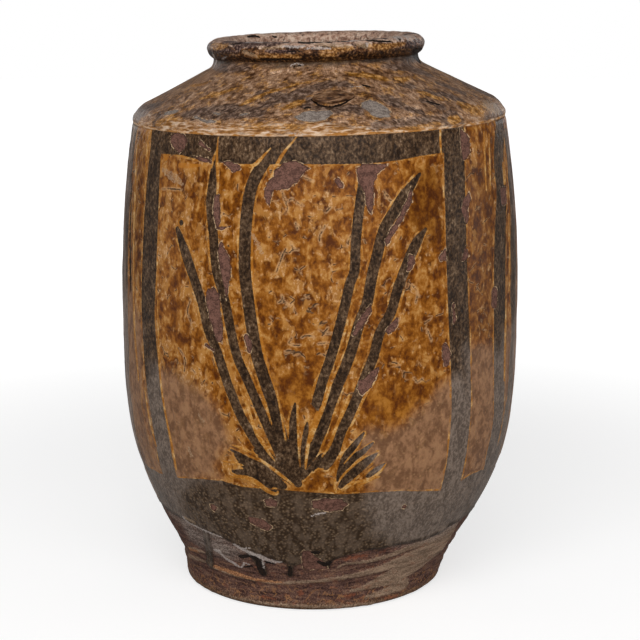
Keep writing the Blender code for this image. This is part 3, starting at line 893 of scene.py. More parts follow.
CRACK_PIXELS = (
    ((281.5, 191, 0.6), (284, 198, 0.8), (287, 207, 1.0), (286, 214, 0.6)),
    ((288, 201, 0.6), (292, 199, 0.9), (297, 203, 0.9), (303, 206, 0.6)),
    ((325, 226, 0.6), (322, 231, 0.8), (319.5, 238, 1.0), (321, 245, 0.6)),
    ((352, 234, 0.7), (349, 240, 0.9), (348, 245, 0.6)),
    ((291, 243, 0.6), (293, 248, 1.0), (298, 250, 0.6)),
    ((289, 253, 0.6), (293, 250, 0.8)),
    ((286, 249, 0.7), (283, 254, 1.0), (280, 262, 0.7), (276, 273, 0.6)),
    ((295.5, 223, 0.6), (297.5, 229, 0.7)),
    ((278, 303, 0.6), (282, 301, 0.9), (287, 304, 0.6)),
    ((294, 309, 0.6), (296, 314, 0.7)),
    ((292, 338, 0.6), (289, 343, 0.8), (294, 345.2, 0.8), (300, 345.5, 0.6)),
    ((302, 337.5, 0.6), (306, 336, 1.0), (313, 336.5, 0.6)),
    ((319, 330, 0.6), (324, 333, 1.0), (332, 333.5, 0.6)),
    ((328, 328, 0.6), (322, 336, 0.8)),
    ((318, 344, 0.6), (325, 343, 0.8), (330, 343.5, 0.6)),
    ((281.5, 295.5, 0.6), (284, 302.5, 0.8)),
    ((303.6, 177, 0.6), (308, 179, 0.8), (313, 181, 0.6)),
    ((384, 191, 0.6), (388, 198, 0.8), (391.6, 201, 0.6)),
    ((162, 188.5, 0.7), (172, 189, 0.9), (181, 189.5, 0.7)),
    ((331, 207, 0.6), (326, 212, 0.7)),
    ((412, 285, 0.6), (418, 293, 0.8), (416, 303, 0.6)),
    ((428, 330, 0.6), (432, 341, 0.8)),
    ((414, 378, 0.6), (418, 382, 1.0), (423, 379, 0.6)),
    ((190, 300, 0.6), (187, 312, 0.8), (191, 323, 0.6)),
    ((180, 350, 0.6), (185, 360, 0.8), (184, 372, 0.6)),
    ((192, 369, 0.8), (195, 373, 0.8)),
    ((447, 504, 0.9), (453, 508, 1.1), (460, 514, 0.8)),
    ((384.7, 571, 0.8), (393, 577, 1.0), (403, 583, 0.8)),
)
GREY_PIXELS = (
    ((167, 112, 3), (175, 111, 3)),
    ((214, 112, 1.6), (219, 113.5, 2.2)),
    ((194, 116, 2.2), (203, 120, 3), (214, 121.5, 3)),
    ((241, 114, 2), (247, 113, 1.6)),
)
WHITE_PIXELS = (
    # white and ashy streaks over the edge of the glaze
    ((183, 517, 1.2), (187, 522, 1.6), (195, 526, 1.4), (206, 531, 1.2), (215, 535, 1.8), (222, 537, 1.4)),
    (
        (234, 544.5, 2), (243, 549.5, 3.4), (251, 553, 3), (260, 556.5, 3.8), (268, 560.5, 3.4),
        (276, 562.3, 2.8), (281, 562, 1.4),
    ),
    # a painted highlight down the drip
    ((262.7, 560, 1.8), (263.5, 568, 1.8)),
    ((243, 548, 1.0), (250, 548, 1.6)),
    ((215, 550.5, 2.0), (219, 551.5, 2.8)),
    (
        (220, 553.5, 1.2), (226, 559, 1.8), (233, 563, 2.2), (241, 567.5, 1.8), (244, 563.5, 1.8),
        (249, 565, 1.2),
    ),
    ((312, 516, 1.4), (318, 514, 2.2), (326, 512.5, 1.4)),
    # a painted highlight along the crease
    ((288, 133.6, 0.8), (303, 134.2, 1.0)),
    # glints on the rim
    ((303, 48.4, 1.2), (312, 48, 2.2), (321, 48, 3), (330, 48.4, 2)),
    ((347, 40.6, 1.0), (353, 40.4, 1.6), (358, 40.6, 1.0)),
    ((366.5, 43, 2.0), (367.5, 46, 2.0)),
    ((284, 46, 2.6), (296, 46.5, 2.8), (304, 45.5, 2.2)),
    ((247, 40.2, 1.0), (255, 41, 1.4), (265, 40, 1.0)),
    ((222, 60, 1.0), (226, 57, 1.0)),
    ((213, 55, 1.0), (215, 64, 1.2)),
    ((290, 66, 0.8), (296, 63.6, 1.0), (303, 65, 0.8)),
    ((350, 86, 0.8), (361, 86.3, 1.0)),
    # the chipped strokes across the rim's crest
    ((392.5, 36.5, 0.8), (398, 41, 0.8)),
    ((397.5, 36, 0.8), (403, 40.5, 0.8)),
    ((402.5, 35.5, 0.8), (408, 40.5, 0.8)),
    ((407.5, 35.5, 0.8), (413, 40.5, 0.8)),
    ((412.5, 35.5, 0.8), (417.5, 41, 0.8)),
)
TAN_PIXELS = (
    # the ridges and ochre bands of the foot
    (
        (211, 566.5, 1.2), (222, 570.5, 1.8), (234.6, 574.6, 2.0), (254.5, 579.5, 2.2), (276, 582.5, 2.6),
        (304, 581.5, 2.8), (325, 580, 3.4), (350, 576, 4.2), (370, 571.5, 5), (390, 564.5, 6.5),
        (410, 555.5, 7), (430, 545.5, 7), (447, 535, 6),
    ),
    ((189, 548, 1.2), (198, 550, 1.6), (206, 553, 1.0)),
    ((189, 555.5, 1.0), (197, 558.5, 1.6), (206, 562, 1.2)),
    (
        (338, 568, 1.2), (345, 563.5, 1.8), (360, 562.5, 2.6), (380, 558, 3.4), (400, 551, 4),
        (420, 543, 4.4), (438, 535, 5), (452, 527, 5),
    ),
    (
        (350, 591, 1.6), (362, 588, 4), (380, 581, 10), (398, 573, 15), (416, 563, 18), (431, 552, 17),
        (441, 545, 9),
    ),
    ((366, 597, 3), (384, 592, 6), (404, 584, 8)),
    ((230, 596, 1.2), (262, 603, 2), (300, 606, 2.4), (340, 606.5, 2.4), (372, 603, 2.4)),
)
RED_PIXELS = (
    ((300, 592, 4), (301, 594, 5)),
    ((346, 597, 2.5), (354, 595, 3)),
    ((386, 598.5, 2), (397, 596.5, 2)),
    ((262, 597, 2), (275, 599, 2)),
    ((306, 553, 5), (309, 560, 8), (314, 566, 7)),
    ((344, 560, 2), (356, 557.5, 3), (366, 556, 2)),
)
# Painted sheen: paler, greyer places low on the front's right and left and down its left flank
SHEEN_OUTLINES = (
    (
        (462, 372), (440, 384), (432, 398), (422, 408), (410, 418), (398, 427), (384, 430), (368, 428),
        (358, 440), (366, 455), (372, 476), (366, 500), (372, 530), (392, 545), (420, 541), (446, 532),
        (461, 520), (470, 490), (472, 440), (470, 395),
    ),
    (
        (466, 346), (484, 342), (500, 350), (505, 330), (518, 318), (518, 420), (510, 440), (500, 480),
        (480, 520), (466, 500), (462, 440),
    ),
    (
        (150, 366), (176, 371), (190, 382), (205, 391), (216, 407), (226, 427), (232, 446), (222, 452),
        (214, 466), (222, 479), (200, 481), (180, 492), (182, 512), (192, 525), (212, 532), (232, 545),
        (242, 552), (240, 559), (226, 559), (208, 550), (190, 540), (172, 510), (160, 486), (150, 440),
        (140, 400),
    ),
    (
        (119, 287), (131, 287), (134, 300), (142, 330), (142, 400), (152, 450), (164, 484), (176, 520),
        (150, 500), (119, 380),
    ),
)
DEEP_OUTLINES = (
    (
        (266, 376), (290, 372), (318, 372), (326, 378), (318, 396), (300, 414), (292, 430), (284, 424),
        (276, 404),
    ),
    (
        (372, 392), (392, 386), (414, 384), (434, 384), (426, 402), (410, 416), (396, 426), (376, 426),
        (362, 416), (364, 402),
    ),
    ((402, 176), (436, 168), (440, 200), (438, 236), (420, 230), (404, 214), (398, 196)),
)
# Painted shade: darker places along the crease at the right, on the strips towards both sides and at the
# upper right
SHADE_OUTLINES = (
    ((392, 110), (440, 108), (494, 102), (496, 120), (441, 132), (420, 134), (394, 135)),
    ((466, 165), (494, 165), (493, 338), (468, 336)),
    ((130, 130), (144, 130), (142, 284), (128, 284)),
    ((410, 170), (442, 165), (444, 240), (424, 250), (404, 214)),
)
BLACK_PIXELS = (
    ((363, 84.6, 1.4), (369, 86, 1.8)),
    ((293, 66.6, 1.0), (301, 65.4, 1.2)),
    ((428, 101, 1.4), (438, 103.5, 2.0)),
    # hollows and the shaded underside of the rim
    ((249, 36, 1.6), (255, 35.5, 2.2), (259, 36.5, 1.6)),
    ((273, 35.5, 1.4), (276, 36.5, 1.8)),
    ((395.5, 36.5, 0.8), (400.5, 40.8, 0.8)),
    ((262, 59.8, 1.6), (276, 60, 2.4), (290, 60, 1.8)),
    ((284, 52, 1.0), (293, 51.3, 1.6), (301, 51, 1.2)),
    ((299, 41, 1.2), (305, 40, 1.8), (311, 40.3, 1.2)),
    ((315, 40.3, 1.2), (330, 40.3, 1.6), (346, 40.3, 1.2)),
    ((368, 40, 1.6), (380, 40.8, 2.2), (391, 41, 1.2)),
    ((231, 43.4, 1.0), (240, 42.8, 1.2)),
    ((358, 37.5, 1.0), (361, 38, 1.0)),
    ((131, 175, 0.8), (129.5, 230, 1.2), (130, 290, 1.2)),
    ((414, 51, 3), (417, 55, 4)),
    # the shadow under the lump
    (
        (311.5, 98, 1.2), (318.3, 104, 1.8), (328.3, 106, 1.8), (340, 104.4, 1.8), (348.3, 100, 1.4),
        (353.5, 96.5, 1.2),
    ),
    ((305, 107, 1.6), (309, 106.6, 2)),
    # the drips, and the painted shadow under the white streak beside them
    ((258, 560, 3), (260, 567, 6), (262.5, 573, 6)),
    ((240, 557.5, 3), (248, 556.8, 2.6), (256, 558.5, 3), (260, 563, 3.5)),
    ((266, 562.5, 1.8), (274, 564.5, 1.6)),
    ((244, 567.5, 1.4), (252, 566.8, 1.8)),
    ((290, 567, 3), (290, 574.5, 4.4)),
    ((318, 562, 2), (324, 565, 4), (330, 563, 3)),
    ((312, 553, 2.4), (318, 553, 3)),
)
DUSK_PIXELS = (
    ((187, 114, 6), (205, 112, 11), (222, 111, 13), (240, 111, 13), (257, 113, 8)),
    ((258, 92, 5), (285, 96, 8), (310, 100, 6)),
    ((265, 104, 6), (276, 100, 8), (300, 93, 8), (318, 86, 7), (340, 83, 6), (350, 86, 4)),
    ((306, 105, 5), (330, 110, 6), (352, 107, 8), (360, 112, 6)),
    ((384, 97, 6), (392, 101, 9), (400, 104, 6)),
    ((408, 108, 5), (418, 111, 6)),
    ((424, 90.5, 3), (436, 93.5, 4)),
    ((447, 95, 4), (458, 99, 5)),
    ((410, 69, 4), (420, 71, 5), (428, 74, 3)),
    ((438, 83, 2.5), (450, 87, 3), (462, 92, 2.5)),
    ((400, 85, 4), (411, 85.5, 5)),
    ((472, 87, 3), (484, 92, 4), (495, 96, 3)),
    ((424, 100, 4), (436, 104, 5), (442, 108, 4)),
    ((385, 123, 4), (405, 121, 5), (425, 118, 5), (440, 115, 4)),
    ((374, 127, 8), (400, 124, 10), (420, 121, 10), (446, 118, 9)),
    ((484, 118, 6), (494, 116, 8), (501, 116, 6)),
    ((137, 118, 6), (141, 112, 8), (149, 108, 6)),
    ((211, 49, 5), (222, 51, 6), (236, 53, 5)),
    # painted shade on the neck under the rim
    ((216, 66, 7), (232, 68, 8), (248, 68, 5)),
    ((384, 66, 4), (400, 67, 6), (412, 66, 5)),
    # the dark scallops and hollows of the rim
    ((241, 45, 4), (245, 43, 7), (251, 45, 6)),
    ((256, 44, 4), (261, 42.5, 5), (264, 43, 4)),
    ((267, 44, 3.5), (272, 43, 5), (278, 42, 4)),
    ((283, 42, 3), (288, 41.5, 2.5)),
    ((228, 41.5, 2.5), (234, 41, 4), (239, 41, 3)),
    ((334, 38.5, 4), (338, 39, 5.5), (342, 38, 4)),
    ((372, 38, 2), (382, 37, 3)),
    ((209, 52, 7), (215, 54, 8), (222, 55, 6)),
    ((237, 50, 4), (240, 47, 4)),
    ((266, 51, 3), (280, 51.5, 4), (294, 52.5, 4)),
    ((353, 45, 3), (355, 48, 3)),
    ((392, 48, 6), (404, 48, 9), (416, 44, 9)),
    ((408, 50, 8), (418, 47, 9)),
    # painted shade on its underside
    ((205, 55, 4), (216, 57, 6), (231, 58, 4), (243, 59, 5), (254, 60, 2)),
    ((299, 58, 5), (310, 57, 7), (322, 58, 6), (334, 59, 3)),
    ((342, 56, 5), (356, 55.5, 8), (372, 56, 9), (388, 55.5, 10), (402, 54, 12), (414, 51, 10)),
)
PALE_PIXELS = (
    ((185, 518, 1.6), (194, 522, 1.6)),
    ((214, 534, 1.4), (220, 537, 1.6)),
    ((162, 169, 2), (168, 174, 6), (177, 180, 7), (182, 184, 3)),
    ((251, 232, 2), (257, 243, 4), (262, 254, 3)),
    ((198, 415, 2), (203, 421, 3)),
    ((188, 448, 2), (191, 456, 2)),
    # painted highlights on the rim's roll
    ((262, 48, 2), (272, 47.5, 3), (281, 46.5, 3)),
    ((318, 44, 3), (334, 45, 4), (348, 46, 4)),
    ((358, 44, 4), (364, 45.5, 6), (368, 47, 3)),
    # a pale flake on the rim
    ((243, 52, 3), (250, 54, 4), (256, 57, 2)),
    # the pinkish corner
    ((486, 107, 5), (491, 106, 8), (496, 106, 5)),
)


LEAVES = [
    from_pixels(tapered(points, width, tip, root))
    for points, width, tip, root in zip(LEAF_PIXELS, LEAF_WIDTHS, LEAF_TIPS, LEAF_ROOTS)
]
BLADES = [from_pixels(points) for points in BLADE_PIXELS]
CHIPS = [finder.find(outline) for outline in CHIP_OUTLINES]


def lay_front():
    """The painting of the front panel, the borders beside it, and the wear that the photograph shows."""
    for line in LEAVES + BLADES:
        lay_stroke("dark", line)
    paint("dark", LEFT_BAR_PIXELS, RIGHT_BAR_PIXELS, OUTER_BAR_PIXELS, FAR_BAR_PIXELS, *DUSK_PIXELS)
    paint("chip", *CHIP_PIXELS)
    for corners in CHIPS:
        lay_outline("chip", corners)
    areas = {"grey": GREY_OUTLINES, "painted_sheen": SHEEN_OUTLINES, "deep": DEEP_OUTLINES, "painted_shade": SHADE_OUTLINES}
    for kind, outlines in areas.items():
        for outline in outlines:
            lay_outline(kind, finder.find(outline))
    for outline in AMBER_OUTLINES:
        clear_outline(outline)
    strokes = {
        "amber": AMBER_AND_LIT_PIXELS,
        "line": LINE_PIXELS,
        "crack": CRACK_PIXELS,
        "grey": GREY_PIXELS,
        "black": BLACK_PIXELS,
        "pale": PALE_PIXELS,
        "white": WHITE_PIXELS,
        "tan": TAN_PIXELS,
        "red": RED_PIXELS,
    }
    for kind, lines in strokes.items():
        paint(kind, *lines)


# Flanks with painted sheen in lilac streaks: azimuth in degrees, heights at both ends, half width
FLANKS = (
    (-80, 0.100, 0.400, 0.032),
    (80, 0.100, 0.405, 0.026),
)
# Patches of painted sheen on the hidden sides: their azimuths in degrees, and height and half width at both
# ends
HIDDEN_SHEEN = (84, 150, 194, 266)
SHEEN_SHAPE = ((0.135, 0.016), (0.180, 0.008))


def lay_flanks():
    """Flanks streaked with painted sheen, and patches of painted sheen low on the panels of the hidden
    sides.
    """
    for degrees, low, high, half in FLANKS:
        heights = np.linspace(along_at(low), along_at(high), 5)
        lay_stroke("flank", np.stack([0 * heights + math.radians(degrees), heights, 0 * heights + half], 1))
    for degrees in HIDDEN_SHEEN:
        line = [(math.radians(degrees), along_at(height), half) for height, half in SHEEN_SHAPE]
        lay_stroke("painted_sheen", np.array(line))


# Layout of the whole painting: each panel's azimuth span in degrees
PANELS = ((-57.5, 39.5), (87.0, 158.0), (187.0, 273.5))
BAR_DEGREES = 8.6
# Hidden bars: azimuth and width in degrees
HIDDEN_BARS = (
    (PANELS[1][1] + BAR_DEGREES / 2, BAR_DEGREES),
    (PANELS[2][0] - BAR_DEGREES / 2, BAR_DEGREES),
    (-79.0, 14.6),
)
HIDDEN_TOP_BAND = 0.0205
HIDDEN_FOOT_HEIGHT = 0.1180


def panel_line(pixels):
    """A line across the front panel as azimuths and distances along."""
    place = finder.find(pixels)
    return place[np.argsort(place[:, 0])]


TOP_BAND_LINE = panel_line(TOP_BAND_PIXELS)
PANEL_FOOT_LINE = panel_line(PANEL_FOOT_PIXELS)


def degrees_from(azimuth, degrees):
    """Signed turn from a given number of degrees, wrapped to half a turn."""
    return (azimuth - math.radians(degrees) + math.pi) % (2 * math.pi) - math.pi


def turned_away(azimuth, middle, near, far):
    """0 within near degrees of a middle, 1 beyond far degrees, smooth between."""
    return soft_step(abs(degrees_from(azimuth, middle)), math.radians(near), math.radians(far))


def lay_bands():
    """The dark band under the crease, the dark foot of the painting, and the hidden bars."""
    wobble = noise(ROUND[0], 0.03, 5, 3)
    edge = turned_away(AZIMUTHS, -9, 49, 60)
    near = np.interp(AZIMUTHS, *PANEL_FOOT_LINE.T)
    foot_line = near * (1 - edge) + (along_at(HIDDEN_FOOT_HEIGHT) + 0.004 * wobble) * edge
    marks["dark"] = np.minimum(marks["dark"], np.clip(GRID_ALONG - foot_line, -REACH, REACH))
    for number, (left, right) in enumerate(PANELS):
        middle = (left + right) / 2
        half = math.radians(right - left) / 2
        turn = degrees_from(GRID_AZIMUTH, middle)
        if number == 0:
            low = np.interp(AZIMUTHS, *TOP_BAND_LINE.T)[None] + 0 * turn
        else:
            low = CREASE - HIDDEN_TOP_BAND + 0.0015 * wobble
        band = np.maximum(low - GRID_ALONG, (abs(turn) - half) * GRID_RADIUS)
        band = np.maximum(band, GRID_ALONG - CREASE + 0.001)
        marks["dark"] = np.minimum(marks["dark"], np.clip(band, -REACH, REACH))
    for degrees, width in HIDDEN_BARS:
        heights = np.linspace(along_at(HIDDEN_FOOT_HEIGHT) - 0.004, CREASE, 12)
        sway = np.radians(0.5) * np.sin(heights / 0.06 + degrees)
        half = 0.5 * math.radians(width) * BELLY_RADIUS * (1 + 0.06 * np.sin(heights / 0.025 + degrees))
        lay_stroke("dark", np.stack([math.radians(degrees) + sway, heights, half], 1))


def lay_tuft(middle, width, side, seed):
    """The front's tuft again on a panel that doesn't show: turned, narrowed and drawn unevenly."""
    chance = np.random.default_rng(seed)
    root = BLADES[0][-1]

    def moved(line, bend=0.0, reach=0.0):
        share = np.clip((line[:, 1] - root[1]) / 0.25, 0, 1)
        azimuth = math.radians(middle) + side * width * (line[:, 0] - root[0]) + bend * share**2
        return np.concatenate([azimuth[:, None], (line[:, 1] + reach * share)[:, None], line[:, 2:]], 1)

    for line in LEAVES + BLADES:
        bend, reach = 0.05 * chance.normal(), 0.015 * chance.normal()
        lay_stroke("dark", moved(line, bend, reach))
        if chance.random() < 0.5 and len(line) > 20:
            middle_of = moved(line, bend, reach)[chance.integers(6, len(line) - 8)]
            turns = np.linspace(0, 2 * math.pi, 12)[:-1]
            size = 0.011 * chance.uniform(0.4, 1.0, 11)
            corners = np.stack([1.6 * size * np.cos(turns), size * np.sin(turns)], 1)
            lay_outline("chip", middle_of[:2] + corners)
    for corners in CHIPS:
        inside = abs(corners[:, 0].mean() + 0.15) < 0.65 and corners[:, 1].mean() < CREASE
        if inside and chance.random() < 0.7:
            lay_outline("chip", moved(corners, 0.02 * chance.normal(), 0.01 * chance.normal()))


# Wear on the hidden sides, and lit amber streaks painted on their shoulder: kind, how many, and the largest
# half width; the span along that it lies in
HIDDEN_PATCHES = (("chip", 40, 0.0085), ("grey", 6, 0.0070))
HIDDEN_STROKES = (("pale", 22, 0.0035), ("crack", 90, 0.0004), ("amber", 16, 0.0040))
WORN_SPAN = (along_at(0.09), CREASE + 0.06)
CRACK_LENGTH = 0.004


def lay_wear():
    """Chips, cracks, pits and patches on the hidden sides, and lit amber streaks painted on their shoulder.
    """
    chance = np.random.default_rng(17)
    for kind, count, biggest in HIDDEN_PATCHES:
        for _ in range(count):
            azimuth = math.radians(chance.uniform(88, 268))
            along = chance.uniform(*WORN_SPAN)
            size = biggest * chance.uniform(0.2, 1) ** 1.4
            turns = np.linspace(0, 2 * math.pi, 10)[:-1]
            reach = size * chance.uniform(0.5, 1.1, 9)
            across = azimuth + reach * np.cos(turns) * chance.uniform(0.4, 0.9) / BELLY_RADIUS
            up = along + reach * np.sin(turns) * chance.uniform(0.7, 1.7)
            lay_outline(kind, np.stack([across, up], 1))
    for kind, count, biggest in HIDDEN_STROKES:
        for _ in range(count):
            azimuth = math.radians(chance.uniform(80, 274))
            along = chance.uniform(*WORN_SPAN)
            if kind == "amber":
                along = chance.uniform(CREASE + 0.004, WORN_SPAN[1])
            turn = chance.uniform(0, math.pi)
            size = biggest * chance.uniform(0.25, 1) ** 1.5
            length = CRACK_LENGTH if kind == "crack" else size * chance.uniform(0.8, 3.0)
            steps = np.linspace(-1, 1, 4)
            bend = chance.normal() * 0.3
            line = [
                azimuth + (math.cos(turn) * steps + bend * steps**2) * length / 2 / BELLY_RADIUS,
                along + math.sin(turn) * steps * length,
                size * (0.45 + 0.55 * (1 - steps**2)),
            ]
            lay_stroke(kind, np.stack(line, 1))


lay_front()
lay_flanks()
lay_bands()
lay_tuft(122, 0.76, -1, 3)
lay_tuft(231, 0.88, 1, 8)
lay_wear()

# Edge of the glaze on the foot, in pixels, and its drips
GLAZE_EDGE_PIXELS = (
    (183, 519), (189, 523), (196, 527), (207, 531), (219, 536.5), (228, 541), (237, 545.5), (246, 550),
    (256, 553.5), (266, 557), (276, 560.5), (284, 563), (290, 566), (297, 566), (303, 563), (316, 563),
    (327, 566), (332, 562), (338, 558.5), (347, 555.5), (356, 553), (368, 550), (380, 549.5), (392, 546.5),
    (409, 543), (421, 540), (431, 536.5), (441, 532), (450, 525),
)
DRIP_PIXELS = (
    ((206, 534, 5), (208, 546, 4.5), (209.5, 557, 4.5), (210, 564, 5)),
    ((252, 553, 8), (258, 561, 7), (262, 568, 7), (263, 573, 7.5)),
    ((290, 562, 8), (290.5, 570, 5), (290, 575, 6)),
    ((327, 560, 12), (327, 566, 7)),
)
HIDDEN_GLAZE_EDGE = 0.052
# A hidden drip from its start to its end: share of its length, and of its width
DRIP_SHAPE = ((0, 1.5), (0.6, 1), (1, 1.15))
GLAZE_EDGE_LINE = panel_line(GLAZE_EDGE_PIXELS)


def glaze_distance():
    """Signed distance above the glaze's lower edge."""
    uneven = 0.0035 * noise(ROUND, 0.022, 31, 3) + 0.0008 * noise(ROUND, 0.004, 32)
    shown = np.interp(AZIMUTHS, *GLAZE_EDGE_LINE.T)
    hidden = along_at(HIDDEN_GLAZE_EDGE)
    edge = turned_away(AZIMUTHS, -3, 76, 95)
    line = shown * (1 - edge) + (hidden + 1.6 * uneven) * edge + 0.2 * uneven
    distance = np.clip(GRID_ALONG - line, -REACH, REACH)
    marks["drip"] = np.full(GRID_RADIUS.shape, REACH)
    paint("drip", *DRIP_PIXELS)
    chance = np.random.default_rng(41)
    for degrees in chance.uniform(95, 265, 9):
        start = hidden + 0.002
        length = chance.uniform(0.006, 0.016)
        azimuth = math.radians(degrees)
        wide = chance.uniform(0.0018, 0.0034)
        line = [(azimuth, start - length * down, wide * swell) for down, swell in DRIP_SHAPE]
        lay_stroke("drip", np.array(line))
    return np.maximum(distance, -marks.pop("drip"))


marks["glaze"] = glaze_distance()

# Relief of the hand-made surface, in metres over the model's outline

FOOT_RIDGE_HEIGHT = 0.0275
FOOT_RIDGE_SLANT = 0.0110
FOOT_RIDGE_WIDTH = 0.0055
FOOT_RIDGE_DEPTH = 0.0013
FOOT_RIDGE_SPACING = 0.0125
FOOT_RIDGE_RUN_OUT = 0.0080
FOOT_RIDGE_AZIMUTH = math.radians(54)
FOOT_RIDGE_COUNT = 3
HIDDEN_SHARE = turned_away(GRID_AZIMUTH, -3, 62, 86)


def hump(distance, width):
    """A bell of height 1 that fades over a width."""
    return np.exp(-((distance / width) ** 2))


def foot_ridges():
    """The slanting finger ridges round the foot, and how much of each place is ridge."""
    slant = FOOT_RIDGE_SLANT * np.cos(GRID_AZIMUTH - FOOT_RIDGE_AZIMUTH)
    waver = 0.0011 * noise(ROUND, 0.03, 61, 2)
    swell = 0
    for i in range(FOOT_RIDGE_COUNT):
        line = FOOT_RIDGE_HEIGHT + slant - i * FOOT_RIDGE_SPACING + waver * (1 + 0.5 * i)
        swell = swell + hump(GRID_HEIGHT - line, FOOT_RIDGE_WIDTH / 2)
    clear = np.minimum(GRID_HEIGHT - BASE_THICKNESS, FOOT_SEAM_HEIGHT - GRID_HEIGHT)
    return swell * np.clip(clear / FOOT_RIDGE_RUN_OUT + 0.45, 0, 1)


def ragged(kind, amount=0.0009, size=0.003, seed=70):
    """A kind's distances with a broken, wandering edge."""
    return marks[kind] + amount * noise(UNROLLED, size, seed, 2)


# Uneven surface everywhere: depth, size of the lumps, seed and octaves
SWELLS = ((0.00026, 0.075, 1), (0.00018, 0.022, 2, 2), (0.00007, 0.0045, 3))
# Kinds that are sunk in: depth, and how far inside the edge it is reached
SUNK = (("chip", 0.00042, 0.0005), ("grey", 0.00030, 0.0006), ("black", 0.00060, 0.0008))
RELIEF_DROP = 0.00045
CAD_MARGIN = 0.00001


def relief():
    """Height of everything that stands proud of or is sunk into the outline."""
    wall = GRID_ALONG < CREASE
    rim_start = ALONG[SPANS[ROLLED_RIM][0]]
    on_rim = soft_step(GRID_ALONG, rim_start - 0.002, rim_start + 0.004)
    height = sum(depth * noise(UPRIGHT, *lumps) for depth, *lumps in SWELLS)
    dark = ragged("dark", 0.0005)
    edge = hump(dark - 0.0010, 0.0009) * (0.65 + 0.5 * noise(UNROLLED, 0.02, 4))
    height += 0.00034 * edge * wall - 0.00012 * soft_step(-dark, -0.0002, 0.0010)
    for kind, depth, soft in SUNK:
        height -= depth * soft_step(-ragged(kind), -0.0003, soft)
    height += 0.00022 * hump(ragged("amber"), 0.0012) * wall
    crease = GRID_ALONG - CREASE + 0.0012 * noise(UNROLLED, 0.04, 7)
    height += 0.00085 * hump(crease - 0.0030, 0.0024) - 0.00070 * hump(crease + 0.0016, 0.0017)
    glaze = marks["glaze"]
    height += 0.00045 * soft_step(glaze, 0, 0.0012) * (GRID_ALONG < 0.12)
    height += 0.00035 * hump(glaze - 0.0012, 0.0011)
    height += FOOT_RIDGE_DEPTH * foot_ridges() * (0.4 + 0.6 * HIDDEN_SHARE)
    height += 0.0008 * hump(np.maximum(ragged("tan"), 0), 0.0016) * (GRID_ALONG < 0.08)
    height += 0.00025 * soft_step(-ragged("white"), -0.0004, 0.0004)
    height += 0.00030 * noise(UPRIGHT, 0.006, 9, 2) * soft_step(-glaze, 0, 0.002)
    height += on_rim * (0.00050 * noise(UPRIGHT, 0.014, 11, 3) + 0.00016 * noise(UPRIGHT, 0.004, 12))
    flank = soft_step(-marks["flank"], -0.006, 0.004)
    height += 0.00045 * flank * noise(UNROLLED * (1, 1, 0.07), 0.0042, 15, 2)
    shoulder = soft_step(GRID_ALONG, CREASE, CREASE + 0.006) * (1 - on_rim)
    height += shoulder * 0.00022 * noise(UNROLLED * (1, 1, 0.25), 0.006, 13, 2)
    return height - RELIEF_DROP


def outside():
    """Settled points of the outside and their normals."""
    lift = relief()
    radius = GRID_RADIUS + OUTWARD[:, 0][:, None] * lift
    height = GRID_HEIGHT + OUTWARD[:, 1][:, None] * lift
    points = settle(around(radius, GRID_AZIMUTH, height))
    low, high = (np.array(corner) for corner in (CAD_LOW, CAD_HIGH))
    points = np.clip(points, low + CAD_MARGIN, high - CAD_MARGIN)
    points[0, :, 2] = low[2] + CAD_MARGIN
    across = np.roll(points, -1, 1) - np.roll(points, 1, 1)
    up = np.gradient(points, axis=0)
    normals = np.cross(across, up)
    normals /= np.linalg.norm(normals, axis=-1, keepdims=True)
    return points, normals


OUTSIDE, NORMALS = outside()


# Pieces


# Places in the bake's square: a strip's margin, width, share of its height that is used, and gap under it
STRIP_MARGIN = 0.01
STRIP_WIDTH = 0.98
STRIP_FILL = 0.94
STRIP_GAP = 0.03
OUTSIDE_PART = (0.01, 0.79)
HIDDEN_PART = (0.80, 0.99)
FAN_CORNER = 0.995
# How many strips each section's outside is cut into
STRIPS = {
    "base_disc": 5,
    "foot_wall": 4,
    "lower_wall": 3,
    "belly_wall": 3,
    "upper_wall": 3,
    "shoulder": 4,
    "neck": 5,
    "rolled_rim": 3,
}


def strip_map(count, low, high, strips):
    """Corner places that lay bands of faces out as stacked strips in a part of the square."""
    each = (high - low) / strips
    per_strip = math.ceil(COLUMNS / strips)
    column = np.arange(COLUMNS)
    strip = column // per_strip
    left = STRIP_MARGIN + STRIP_WIDTH * (column - strip * per_strip) / per_strip
    right = left + STRIP_WIDTH / per_strip
    share = np.arange(count + 1) / count * STRIP_FILL
    bottom = low + each * (strip[None] + STRIP_GAP + share[:-1, None])
    top = low + each * (strip[None] + STRIP_GAP + share[1:, None])
    corners = ((left, bottom), (right, bottom), (right, top), (left, top))
    return np.stack([np.stack(np.broadcast_arrays(x, y), -1) for x, y in corners], 2).reshape(-1, 2)


def ring_quads(first, second):
    """Faces between two rings of vertex numbers."""
    return np.stack([first, np.roll(first, -1), np.roll(second, -1), second], 1)


def add_attribute(mesh, name, values, kind="FLOAT"):
    """Gives each point of a mesh a number or a vector."""
    layer = mesh.attributes.new(name, kind, "POINT")
    field = "vector" if kind == "FLOAT_VECTOR" else "value"
    layer.data.foreach_set(field, values.astype(np.float32).ravel())


def rings_on(line, step):
    """Settled rings of points at even steps along a line of radii and heights."""
    rows = evenly(line, step)
    radius = over_grid(np.maximum(rows[:, 0], MIDDLE_RADIUS))
    return settle(around(radius, GRID_AZIMUTH[:1] + 0 * radius, rows[:, 1][:, None]))


def middle_ring(first, second, toward):
    """The ring halfway across a seam, dipped a little into the piece."""
    return (first + second) / 2 + np.array((0, 0, SEAM_DIP * toward))


